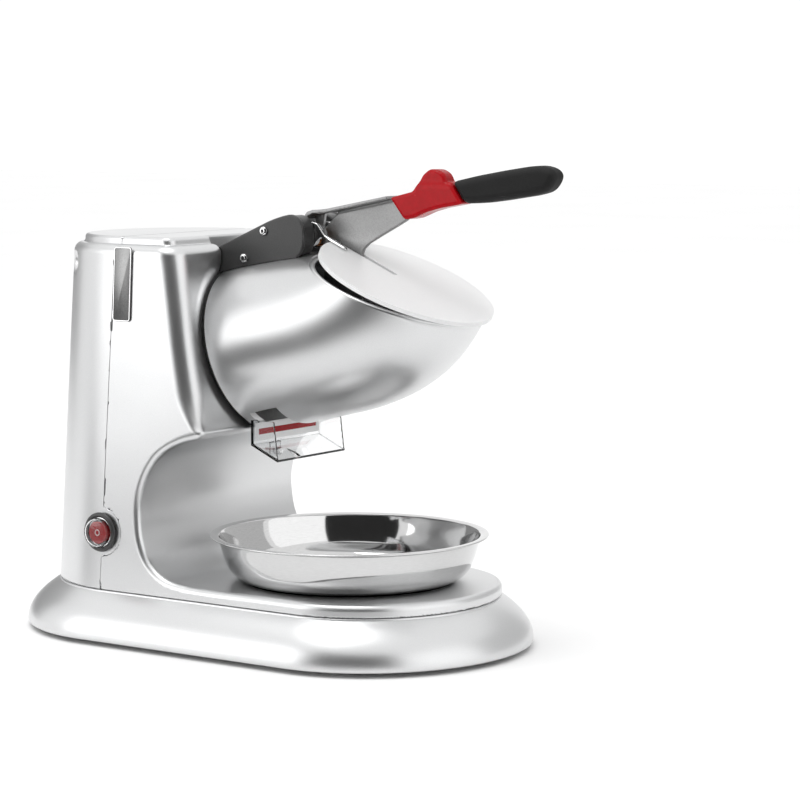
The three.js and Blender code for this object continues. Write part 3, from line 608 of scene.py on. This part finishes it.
def rear_housing(x, y, z):
    shell = both(tower_shell(x, y, z), rear_region(x, y, z) + SEAM_GAP)
    switch_hole = both(np.hypot(x - SWITCH_X, z - SWITCH_Z) - 10.4, y)
    shell = less(shell, switch_hole, 0.3)
    cord_hole = both(np.hypot(y, z - 58) - 6.3, x + 150)
    return less(shell, cord_hole, 0.3)


def make_housings():
    step = 1.5
    field_piece("front_shell", front_housing, (SEAM_LOW - 2, -97, 37), (PLATFORM_TIP, 97, 293), step,
                "machine", "silver_paint", ["front_housing"], lambda x, y, z: rear_region(x, y, z) - SEAM_GAP)
    field_piece("rear_shell", rear_housing, (-175.5, -97, 37), (SWITCH_X + SWITCH_TAB, 97, 293), step,
                "machine", "silver_paint", ["rear_housing"], lambda x, y, z: rear_region(x, y, z) + SEAM_GAP)


# ---------------------------------------------------------------- base

def plinth_ring(rise, inset, z, steps=44):
    share = rise * rise
    half = lerp(234, 193, share) / 2 - inset
    length = lerp(400, 352, share) / 2 - inset
    centre = 1.2 * share
    ring = []
    for end, cap in ((1, CAP_FRONT), (-1, CAP_REAR)):
        for turn in np.linspace(-math.pi / 2, math.pi / 2, steps):
            middle = centre + end * (length - cap * half)
            ring.append([middle + end * cap * half * math.cos(turn), end * half * math.sin(turn), z])
    return ring


def make_plinth():
    rings = []
    for turn in np.linspace(0, math.pi / 2, 6):
        rings.append(plinth_ring(0, 1.6 * (1 - math.sin(turn)), 5.6 - 2.1 * math.cos(turn)))
    for rise in np.linspace(0.02, 1, 40):
        rings.append(plinth_ring(rise, 0, lerp(5.6, 35.6, rise)))
    for turn in np.linspace(0.25, math.pi / 2, 6):
        rings.append(plinth_ring(1, 1.4 * (1 - math.cos(turn)), 35.6 + 1.4 * math.sin(turn)))
    rings.append(plinth_ring(1, 14, 37))
    rings.append(plinth_ring(1, 14, 34))
    for rise in np.linspace(1, 0, 20):
        rings.append(plinth_ring(rise, WALL, lerp(5.6, 34, rise)))
    rings.append(plinth_ring(0, WALL, 3.5))
    ring_piece("plinth_casting", rings, "machine", "silver_paint", ["base_plinth"], closed=True)


def make_feet():
    profile = [[0, 0], [9.5, 0], [10.8, 0.3], [11.7, 1.1], [12, 2], [11.6, 4], [11.2, 4.7], [0, 4.7]]
    for end, x in (("front", 148), ("rear", -148)):
        for side, y in (("left", 66), ("right", -66)):
            place = Matrix.Translation((x, y, 0))
            turned(f"foot_pad_{end}_{side}", profile, "machine", "black_rubber", place,
                   [f"foot_{end}_{side}"], count=48)


# ---------------------------------------------------------------- badge and switch

def make_badge():
    """A blank plate with a raised rim."""
    lean = math.atan((HALF_LOW - HALF_HIGH) / (TOWER_HIGH - TOWER_LOW))
    place = Matrix.Translation((-71.3, -84.15, 257.5)) @ Matrix.Rotation(-lean, 4, "X")
    outline = rounded([[-8, -26.5], [8, -26.5], [8, 26.5], [-8, 26.5]], 2.2)
    plate("badge_plate", outline, 0, -0.9, "machine", "cast_metal", ["name_badge"], 0.25, 2, place)
    inner = rounded([[-7, -25.5], [7, -25.5], [7, 25.5], [-7, 25.5]], 1.6)
    rim_parts = []
    for k, ring in enumerate((outline, inner)):
        shrink = 0.3 * (1 - 2 * k)
        scale = np.array([1 - shrink / 8, 1 - shrink / 26])
        rim_parts.append(ring * scale)
    rings = []
    for points, depth in ((rim_parts[0], -0.85), (rim_parts[0], -1.15), (rim_parts[1], -1.15),
                          (rim_parts[1], -0.85)):
        rings.append([place @ Vector((x, depth, z)) for x, z in points])
    ring_piece("badge_rim", rings, "machine", "chrome_plate", closed=True)


def make_switch():
    place = along((0, -1, 0), (SWITCH_X, SWITCH_Y, SWITCH_Z))
    bezel = [[9.2, -6], [10, -6], [10, 0], [13.6, 0], [14.2, 0.3], [14.3, 0.9], [14.0, 1.7], [13.2, 2.4],
             [12.2, 2.6], [11.4, 2.5], [11.0, 2.2], [11, 1.2], [9.2, 1.2]]
    turned("switch_ring", bezel, "machine", "black_satin", place, ["switch_bezel"], closed=True)
    cap = [[9.6, 1.5], [10.7, 1.5], [10.7, 5.6], [10.5, 6.3], [10.0, 6.9], [9.3, 7.3], [8.4, 7.5], [0, 7.6],
           [0, 6.8], [8.2, 6.7], [9.0, 6.4], [9.5, 5.9], [9.7, 5.2]]
    turned("switch_cover", cap, "machine", "clear_plastic", place, ["switch_cap"], closed=True)
    dome = [[0, -4], [8.1, -4], [8.3, 2.9], [8.2, 3.6], [7.7, 4.1], [7.0, 4.2], [4, 3.75], [0, 3.6]]
    turned("rocker_cap", dome, "rocker", "red_gloss", place, ["switch_rocker"])
    mark = []
    for turn in np.linspace(0, 2 * math.pi, 9)[:-1]:
        mark.append([2.0 + 0.28 * math.cos(turn), 3.72 + 0.2 * math.sin(turn)])
    turned("rocker_mark", mark, "rocker", "white_label", place, closed=True, count=48, angle=180)


# ---------------------------------------------------------------- hopper

COLLAR_TOP = [AXIS_X + 1.5 * math.cos(AXIS_TILT) - COLLAR * math.sin(AXIS_TILT),
              AXIS_Z + 1.5 * math.sin(AXIS_TILT) + COLLAR * math.cos(AXIS_TILT)]
COLLAR_LOW = [AXIS_X + 1.5 * math.cos(AXIS_TILT) + COLLAR * math.sin(AXIS_TILT),
              AXIS_Z + 1.5 * math.sin(AXIS_TILT) - COLLAR * math.cos(AXIS_TILT)]
HOPPER_TOP = [COLLAR_TOP, [-12, 273.5], [12, 277.5], [33, 280], [50, 280]]
HOPPER_LOW = [COLLAR_LOW, [32, 156.5], [63, 164], [88, 170.5], [111, 179.2], [129, 189], [145, 201.3],
              [158, 216], [170.5, 235]]


class Run:
    """A curve through points that is read by its share of the whole length."""

    def __init__(self, points):
        self.points = spline(points, 400)
        pieces = np.linalg.norm(np.diff(self.points, axis=0), axis=1)
        self.share = np.concatenate([[0], np.cumsum(pieces)]) / pieces.sum()

    def __call__(self, share):
        return np.array([np.interp(share, self.share, self.points[:, k]) for k in range(2)])


TOP_RUN, LOW_RUN = Run(HOPPER_TOP), Run(HOPPER_LOW)


def hopper_ring(share, inset, shift=0.0, count=128):
    top, low = TOP_RUN(share), LOW_RUN(share)
    middle = (top + low) / 2
    reach = top - middle
    half = np.linalg.norm(reach)
    reach = reach * (half - inset) / half
    out = np.array([reach[1], -reach[0]]) / np.linalg.norm(reach)
    middle = middle + out * shift
    wide = COLLAR + 3.5 * math.sin(math.pi * share * 0.85) + 1.5 * share - inset
    turns = np.linspace(0, 2 * math.pi, count, endpoint=False)
    return np.stack([middle[0] + reach[0] * np.cos(turns), wide * np.sin(turns),
                     middle[1] + reach[1] * np.cos(turns)], 1)


def make_hopper():
    rings = [hopper_ring(share, 0) for share in np.linspace(0, 0.985, 60)]
    half_wall = HOPPER_WALL / 2
    for turn in np.linspace(0, math.pi, 9):
        rings.append(hopper_ring(1, half_wall * (1 - math.cos(turn)), half_wall * (math.sin(turn) - 1)))
    rings += [hopper_ring(share, HOPPER_WALL) for share in np.linspace(0.985, 0, 40)]
    shown = ring_piece("hopper_shell", rings, "machine", "silver_paint", ["hopper"], closed=True)
    carve(shown, cutter_block(9.5, 33.0, -41.6, 41.6, 130, 172))
    seal = [[COLLAR - 3.8, 0], [COLLAR - 0.4, 0], [COLLAR - 0.2, 0.6], [COLLAR - 0.4, 1.2],
            [COLLAR - 3.8, 1.2]]
    turned("collar_gasket", seal, "machine", "black_rubber", MOTOR_AXIS, ["hopper_seal"], 128, closed=True)


# ---------------------------------------------------------------- chute

CHUTE_BACK, CHUTE_WALL, CHUTE_HALF = 9.8, 1.6, 41.0
CHUTE_SCREW_Y, CHUTE_SCREW_Z = -14.0, 135.8


def flat_box(name, low, high, slot, stands_for=(), edge=0.1):
    outline = [[low[0], low[2]], [high[0], low[2]], [high[0], high[2]], [low[0], high[2]]]
    plate(name, outline, low[1], high[1], "machine", slot, stands_for, edge, 2)


def make_chute():
    """A clear scoop: a back plate with a tab for its screw, a sloping floor and two cheeks."""
    face = CHUTE_BACK + CHUTE_WALL
    lip, top, low = 33.6, 161.0, 144.5

    def floor_top(x):
        return low - (x - CHUTE_BACK) * 0.448

    def scoop(x, y, z):
        back = box_field(x, y, z, (CHUTE_BACK, -CHUTE_HALF, low - 1.6), (face, CHUTE_HALF, top), 0.4)
        tab = box_field(x, y, z, (CHUTE_BACK, -20, 132), (face, -8, 150), 0.5)
        thick = both(z - floor_top(x), floor_top(x) - CHUTE_WALL - z, 0.4)
        floor = both(thick, both(x - lip, CHUTE_BACK - x), 0.4)
        floor = both(floor, np.abs(y) - CHUTE_HALF, 0.4)
        lean = both(floor_top(x) - CHUTE_WALL - z, x - lip + (z - 131) * 0.12, 0.4)
        cheek = both(both(lean, CHUTE_BACK - x), z - top)
        cheek = both(cheek, np.abs(np.abs(y) - CHUTE_HALF + CHUTE_WALL / 2) - CHUTE_WALL / 2, 0.4)
        whole = either(either(back, tab, 0.3), either(floor, cheek, 0.3), 0.3)
        return less(whole, np.hypot(y - CHUTE_SCREW_Y, z - CHUTE_SCREW_Z) - 1.9, 0.2)

    shown = field_piece("scoop", scoop, (CHUTE_BACK, -CHUTE_HALF, 131), (lip, CHUTE_HALF, top),
                        0.6, "machine", "clear_plastic", ["chute"])
    carve(shown, hopper_cutter())
    flat_box("scoop_label", (face + 0.3, -38, 145.8), (face + 0.8, 38, 158.8), "white_label", ["chute_label"])
    flat_box("scoop_label_bar", (face + 0.75, -34, 150.2), (face + 0.95, 34, 154.4), "red_gloss", edge=0.05)
    head = [[0, -7], [1.6, -7], [1.6, 2.3], [2.6, 2.3], [2.8, 2.6], [2.8, 5.6], [2.5, 6.2], [1.9, 6.6],
            [0, 6.6]]
    turned("scoop_screw", head, "machine", "chrome_plate",
           along((1, 0, 0), (CHUTE_BACK, CHUTE_SCREW_Y, CHUTE_SCREW_Z)), ["chute_screw"], 32)


# ---------------------------------------------------------------- bowl

def make_bowl():
    outside = [[0, 0], [70, 0], [73, 0.1], [76.5, 0.7], [80, 2.2], [84, 5.4], [87, 9.4], [89, 13.6],
               [91, 19], [93.3, 27], [94.6, 30.6], [95.6, 31.4], [97.5, 31.3], [99, 31.5], [99.8, 32.0],
               [100, 32.6], [99.5, 33.1], [98.4, 33.2]]
    inside = [[96, 33.1], [94.6, 32.7], [93.6, 31.8], [92.1, 27.4], [89.8, 19.4], [87.9, 14.2], [86, 10.4],
              [83.2, 6.6], [79.4, 3.5], [76, 1.9], [72.8, 1.3], [70, 1.2], [0, 1.2]]
    profile = np.vstack([spline(outside, 90), spline(inside, 70)])
    place = Matrix.Translation((BOWL_X, 0, PLATFORM_TOP + 0.3))
    turned("steel_bowl", profile, "bowl", "mirror_steel", place, ["bowl"], count=192, angle=60)


# ---------------------------------------------------------------- lid and hinge

def make_lid():
    slot_half = 2.3
    slot_end = (108 - LID_X) / math.cos(LID_TILT)
    start = math.asin(slot_half / LID_RADIUS)
    outline = []
    for turn in np.linspace(math.pi - start, -math.pi + start, 160):
        outline.append([LID_RADIUS * math.cos(turn), LID_RADIUS * math.sin(turn)])
    for turn in np.linspace(-math.pi / 2, math.pi / 2, 12):
        outline.append([slot_end - slot_half + slot_half * math.cos(turn), slot_half * math.sin(turn)])
    flat = LID_PLACE @ Matrix.Rotation(math.radians(90), 4, "X")
    plate("lid_disc", outline, -1.5, 1.5, "lid", "frosted_plastic", ["lid"], 0.7, 3, flat)


def lid_top(x, above):
    return LID_Z - (x - LID_X) * math.tan(LID_TILT) + 1.5 / math.cos(LID_TILT) + 0.3 + above


def make_lid_hinges():
    leaf = rounded([[PIN_X + 2, PIN_Z - 5.5], [52, lid_top(52, 0)], [57, lid_top(57, 0)],
                    [72, lid_top(72, 0)], [72, lid_top(72, 2)], [54, lid_top(54, 2.4)], [47, 301.5],
                    [41, 302.5], [38, 296]], 1.6)
    strap = Outline(leaf, 0.5)
    for side, y0, y1 in (("left", 3.3, 11.9), ("right", -11.9, -8.5)):
        middle, half = (y0 + y1) / 2, (y1 - y0) / 2

        def hinge(x, y, z):
            knuckle = both(np.hypot(x - PIN_X, z - PIN_Z) - 7, np.abs(y - middle) - half, 0.8)
            leaf_part = both(strap(x, z), np.abs(y - middle) - half, 0.8)
            whole = either(knuckle, leaf_part, 1.2)
            return less(whole, np.hypot(x - PIN_X, z - PIN_Z) - PIN_RADIUS - 0.3, 0.2)

        field_piece(f"lid_strap_{side}", hinge, (33, y0, 278), (73, y1, 303), 0.5, "lid", "chrome_plate",
                    [f"lid_hinge_{side}"])


def make_pin():
    profile = [[0, 0], [2.9, 0], [3.5, 0.6], [3.5, 47], [2.9, 47.6], [0, 47.6]]
    turned("pin_rod", profile, "machine", "chrome_plate", along((0, 1, 0), (PIN_X, -23.8, PIN_Z)),
           ["hinge_pin"], 64)


BRACKET = [[-37, 279.8], [-34.6, 261.6], [35, 274.2], [42, 277.5], [46, 283.5], [47, 291], [46.2, 299.5],
           [42.5, 305.5], [36.5, 308], [30, 307], [18.2, 303.6]]


SCREW_PLACES = [[11.9, 295.4], [-5.8, 275.6]]


def make_bracket():
    side = Outline(rounded(BRACKET, 6), 0.5)
    fork_half = 12.3

    def core(x, y, z):
        body = both(side(x, z) + 0.6, np.abs(y) - (COVER_Y - 0.3), 0.6)
        body = less(body, box_field(x, y, z, (16.5, -fork_half, 240), (70, fork_half, 330)), 1.5)
        body = less(body, box_field(x, y, z, (-9, -7, 283), (13, 7, 330)), 0.5)
        body = less(body, both(np.hypot(y, z - 287) - 2.3, 9 - x))
        return less(body, np.hypot(x - PIN_X, z - PIN_Z) - PIN_RADIUS - 0.3, 0.3)

    shown = field_piece("bracket_block", core, (-38, -COVER_Y, 260), (48, COVER_Y, 309), 0.8, "machine",
                        "black_satin", ["bracket_core"])
    carve(shown, hopper_cutter(), collar_cutter())

    def cover(x, y, z):
        return both(side(x, z), np.abs(y - COVER_Y - COVER_THICK / 2) - COVER_THICK / 2, 0.8)

    shown = field_piece("bracket_plate_left", cover, (-38, COVER_Y, 260), (48, COVER_Y + COVER_THICK, 309),
                        0.8, "machine", "black_satin", ["bracket_cover_left"])
    carve(shown, hopper_cutter(), collar_cutter())
    mirrored("bracket_plate_right", shown, "black_satin", ["bracket_cover_right"])
    for name, sign in (("left", 1), ("right", -1)):
        for number, (x, z) in enumerate(SCREW_PLACES):
            make_screw(f"bracket_bolt_{name}_{number + 1}", x, sign * (COVER_Y + COVER_THICK + 0.3), z, sign,
                       f"bracket_screw_{name}_{number + 1}")


def hopper_cutter():
    rings = [hopper_ring(share, -0.5, count=96) for share in np.linspace(0, 1, 40)]
    return bare_loft(rings)


def collar_cutter():
    turns = np.linspace(0, 2 * math.pi, 96, endpoint=False)
    rings = []
    for height in (-30, 2):
        circle = [Vector(((COLLAR + 1.5) * math.cos(t), (COLLAR + 1.5) * math.sin(t), height)) for t in turns]
        rings.append([MOTOR_AXIS @ point for point in circle])
    return bare_loft(rings)


def bare_loft(rings):
    mesh = bpy.data.meshes.new("cutter")
    points = to_row(np.array(rings, float).reshape(-1, 3))
    mesh.from_pydata(points.tolist(), [], tube_faces(len(rings), len(rings[0]), False))
    cutter = bpy.data.objects.new("cutter", mesh)
    bpy.context.scene.collection.objects.link(cutter)
    face_out(cutter)
    return cutter


def make_screw(name, x, y, z, sign, node):
    """A round-headed screw with a hexagon socket, and a black disc on the socket's floor as painted shade."""
    place = along((0, sign, 0), (x, y, z))
    turns = np.linspace(0, 2 * math.pi, 48, endpoint=False)
    hexagon = math.cos(math.pi / 6) / np.cos(np.mod(turns, math.pi / 3) - math.pi / 6)
    rings = []
    for radius, height, six in ((0.01, -12, 0), (1.5, -12, 0), (1.5, 0, 0), (3.1, 0, 0), (3.25, 0.5, 0),
                                (3.0, 1.2, 0), (2.4, 1.7, 0), (1.75, 1.95, 0), (1.45, 1.9, 1),
                                (1.4, 0.9, 1), (0.01, 0.9, 0)):
        reach = radius * (hexagon if six else 1.0)
        circle = np.stack([reach * np.cos(turns), reach * np.sin(turns), np.full(48, height)], 1)
        rings.append([place @ Vector(point) for point in circle])
    ring_piece(name, rings, "machine", "chrome_plate", [node], angle=30)
    # A black disc just above the chrome socket's floor: painted shade in the recess.
    socket = [[0.01, 0.92], [1.25, 0.92], [1.25, 1.0], [0.01, 1.0]]
    turned(name + "_socket", socket, "machine", "black_satin", place, count=24)


# ---------------------------------------------------------------- handle

FLANGE = [[33, 306], [35.5, 309], [40, 310.4], [46, 310.8], [53.1, 311.6], [104.6, 321.6], [105.9, 319.2],
          [53.5, 308.6], [46, 307.8], [40.6, 307.4], [37, 305.4], [34.5, 303.6]]
SLEEVE = [[107.2, 320.6], [126.3, 325.2], [129.5, 330], [133.5, 337], [139, 340.9], [145.5, 340.8],
          [150.8, 338.2], [153, 334.8], [153.8, 332], [157.5, 332.5], [168, 317.6], [161, 316.2],
          [148.4, 314], [137.7, 311.1], [127, 306.7], [119.3, 305.4]]
GRIP = [[158.2, 332.6], [179, 337.1], [199.8, 340.8], [220, 343.9], [230, 344.7], [238.5, 342.6],
        [242, 338.5], [240.6, 333], [235.4, 327], [225.3, 324.4], [199.9, 320.4], [184.3, 318.4],
        [168.7, 317.6]]
TANG = [[112.5, 312.5], [218, 329.7], [218, 335.7], [112.5, 318.5]]


def pusher_point(down, off):
    return [34 + 0.682 * down + 0.731 * off, 245 - 0.731 * down + 0.682 * off]


def web_outline():
    throat = []
    for turn in np.radians(np.linspace(-75, -8, 12)):
        throat.append([PIN_X + 20 * math.cos(turn), PIN_Z + 20 * math.sin(turn)])
    return [[46, 297], [50.5, 301], [55, 305.5], [60, 309.6], [106, 319], [118.6, 305.2], [110.7, 300.9],
            [96.6, 293.6], [85.2, 287.4], [80.9, 283.5], [79, 279], pusher_point(64, 2.3),
            pusher_point(13, 2.3), *throat, [48.5, 290.4]]


def make_arm():
    flange, web = Outline(FLANGE, 0.5), Outline(web_outline(), 0.5)
    post = Outline([[37, 296], [45, 296], [47, 308.5], [38, 306.5]], 0.5)
    bar = Outline(TANG, 0.5)

    def arm(x, y, z):
        sheet = both(web(x, z), np.abs(y) - 1.5, 0.6)
        rail = both(flange(x, z), np.abs(y) - 8, 0.8)
        whole = either(rail, sheet, 2.2)
        whole = either(whole, both(post(x, z), np.abs(y) - 1.5, 0.4), 1.0)
        hub = both(np.hypot(x - PIN_X, z - PIN_Z) - 8, np.abs(y) - 3, 0.6)
        whole = either(whole, hub, 1.0)
        whole = either(whole, both(bar(x, z), np.abs(y) - 3, 0.3))
        return less(whole, np.hypot(x - PIN_X, z - PIN_Z) - PIN_RADIUS - 0.3, 0.2)

    field_piece("arm_casting", arm, (32, -8, 193), (218, 8, 337), 0.75, "handle",
                "cast_metal", ["handle_arm"])
    steps = np.linspace(0, 2 * math.pi, 96, endpoint=False)
    rings = []
    for off, shrink in ((-2, 1.0), (-2, 0.5), (-1.5, 0), (1.5, 0), (2, 0.5), (2, 1.0)):
        ring = []
        for turn in steps:
            x, z = pusher_point(35 - (35 - shrink) * math.cos(turn), off)
            ring.append([x, (38 - shrink) * math.sin(turn), z])
        rings.append(ring)
    ring_piece("pusher_plate", rings[1:-1], "handle", "cast_metal", ["ice_pusher"])


def make_grips():
    sleeve, grip = Outline(rounded(SLEEVE, 2.2), 0.4), Outline(rounded(GRIP, 4), 0.4)
    bar = Outline(TANG, 0.5)

    def hand_sleeve(x, y, z):
        body = both(sleeve(x, z), np.abs(y) - 9, 2.6)
        knob_half = lerp(9, 6.5, ease(327, 334, z))
        body = both(body, np.abs(y) - knob_half, 3)
        return less(body, both(bar(x, z) - 0.3, np.abs(y) - 3.3))

    def hand_grip(x, y, z):
        body = both(grip(x, z), np.abs(y) - 8.5, 5.5)
        return less(body, both(bar(x, z) - 0.3, np.abs(y) - 3.3))

    field_piece("red_sleeve", hand_sleeve, (106, -9, 304), (169, 9, 342), 0.7, "handle", "red_gloss",
                ["handle_sleeve"])
    field_piece("soft_grip", hand_grip, (157, -9, 317), (243, 9, 346), 0.8, "handle", "charcoal_grip",
                ["handle_grip"])


def make_spring():
    """A torsion spring of round wire with two straight legs."""
    radius, turns = 5.6, 2.5
    wire = [[PIN_X - 11, -7.5, PIN_Z + radius]]
    for share in np.linspace(0, 1, 61):
        turn = math.pi / 2 + share * turns * 2 * math.pi
        wire.append([PIN_X + radius * math.cos(turn), lerp(-7.5, -4.1, share),
                     PIN_Z + radius * math.sin(turn)])
    wire.append([wire[-1][0] + 11, -4.1, wire[-1][2]])
    curve = bpy.data.curves.new("spring_wire", "CURVE")
    curve.dimensions = "3D"
    curve.bevel_depth = 0.6 * MM
    curve.bevel_resolution = 4
    curve.use_fill_caps = True
    line = curve.splines.new("POLY")
    line.points.add(len(wire) - 1)
    for point, place in zip(line.points, to_row(wire)):
        point.co = (*place, 1)
    shown = bpy.data.objects.new("spring_wire", curve)
    bpy.context.scene.collection.objects.link(shown)
    curve.materials.append(FINISHES["copper_wire"])
    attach(shown, "handle")
    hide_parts("hinge_spring")


make_housings()
make_plinth()
make_feet()
make_badge()
make_switch()
make_hopper()
make_chute()
make_bowl()
make_lid()
make_lid_hinges()
make_pin()
make_bracket()
make_arm()
make_grips()
make_spring()


# ---------------------------------------------------------------- studio

def emitter(name, place, aim, width, height, power):
    light = bpy.data.lights.new(name, "AREA")
    light.shape = "RECTANGLE"
    light.size, light.size_y = width, height
    light.energy = power
    shown = bpy.data.objects.new(name, light)
    shown.location = place
    shown.rotation_euler = (Vector(aim) - Vector(place)).to_track_quat("-Z", "Y").to_euler()
    bpy.context.scene.collection.objects.link(shown)


def reflected_card(name, start, end, near, far, shade):
    """A surface between two bearings and two (radius, height) edges that only reflections see."""
    bearings = np.radians(np.linspace(start, end, 25))
    points = [[r * math.cos(b), r * math.sin(b), z] for r, z in (near, far) for b in bearings]
    count = len(bearings)
    faces = [[k, k + 1, count + k + 1, count + k] for k in range(count - 1)]
    mesh = bpy.data.meshes.new(name)
    mesh.from_pydata(points, [], faces)
    card = bpy.data.objects.new(name, mesh)
    material = bpy.data.materials.new(name)
    material.use_nodes = True
    shader = material.node_tree.nodes["Principled BSDF"]
    shader.inputs["Base Color"].default_value = (0, 0, 0, 1)
    shader.inputs["Emission Color"].default_value = (shade, shade, shade, 1)
    shader.inputs["Emission Strength"].default_value = 1.0
    shader.inputs["Roughness"].default_value = 1.0
    mesh.materials.append(material)
    bpy.context.scene.collection.objects.link(card)
    for ray in ("camera", "diffuse", "transmission", "volume_scatter", "shadow"):
        setattr(card, "visible_" + ray, False)


def make_studio():
    scene = bpy.context.scene
    scene.view_settings.view_transform = "Standard"
    world = bpy.data.worlds.new("studio")
    world.use_nodes = True
    world.node_tree.nodes["Background"].inputs["Color"].default_value = (1, 1, 1, 1)
    world.node_tree.nodes["Background"].inputs["Strength"].default_value = 1.06
    scene.world = world
    middle = (0.0, 0.0, 0.17)
    emitter("left_softbox", (-1.5, -1.9, 0.8), middle, 1.4, 1.6, 9)
    emitter("top_softbox", (-0.3, -0.5, 2.2), middle, 1.2, 1.2, 12)
    reflected_card("behind_camera", -102, -30, (2.7, -0.1), (2.7, 2.4), 0.02)
    reflected_card("floor_before_camera", -155, -25, (0.40, 0.002), (2.7, 0.002), 0.03)
    reflected_card("right_of_camera", -30, 28, (2.7, -0.1), (2.7, 2.2), 1.4)
    reflected_card("far_right", 34, 95, (2.7, -0.1), (2.7, 1.8), 0.62)
    reflected_card("far_left", 140, 178, (2.7, -0.1), (2.7, 1.6), 0.3)

    work = bmesh.new()
    bmesh.ops.create_grid(work, x_segments=24, y_segments=24, size=9)
    mesh = bpy.data.meshes.new("floor")
    work.to_mesh(mesh)
    work.free()
    floor = bpy.data.objects.new("floor", mesh)
    scene.collection.objects.link(floor)
    mesh.materials.append(finish("floor_paint", grey(0.93), grey(0.95), (0.75, 0.85), grain=3, bump=0.0,
                                 blotch=1))


def make_camera():
    scene = bpy.context.scene
    lens = bpy.data.cameras.new("camera")
    lens.lens = 126.0
    lens.sensor_width = 36.0
    lens.clip_end = 50
    camera = bpy.data.objects.new("camera", lens)
    camera.location = (1.203, -1.6135, 0.394)
    aim = Vector((0.054, 0.052, 0.1712)) - camera.location
    camera.rotation_euler = aim.to_track_quat("-Z", "Y").to_euler()
    scene.collection.objects.link(camera)
    scene.camera = camera


make_studio()
make_camera()
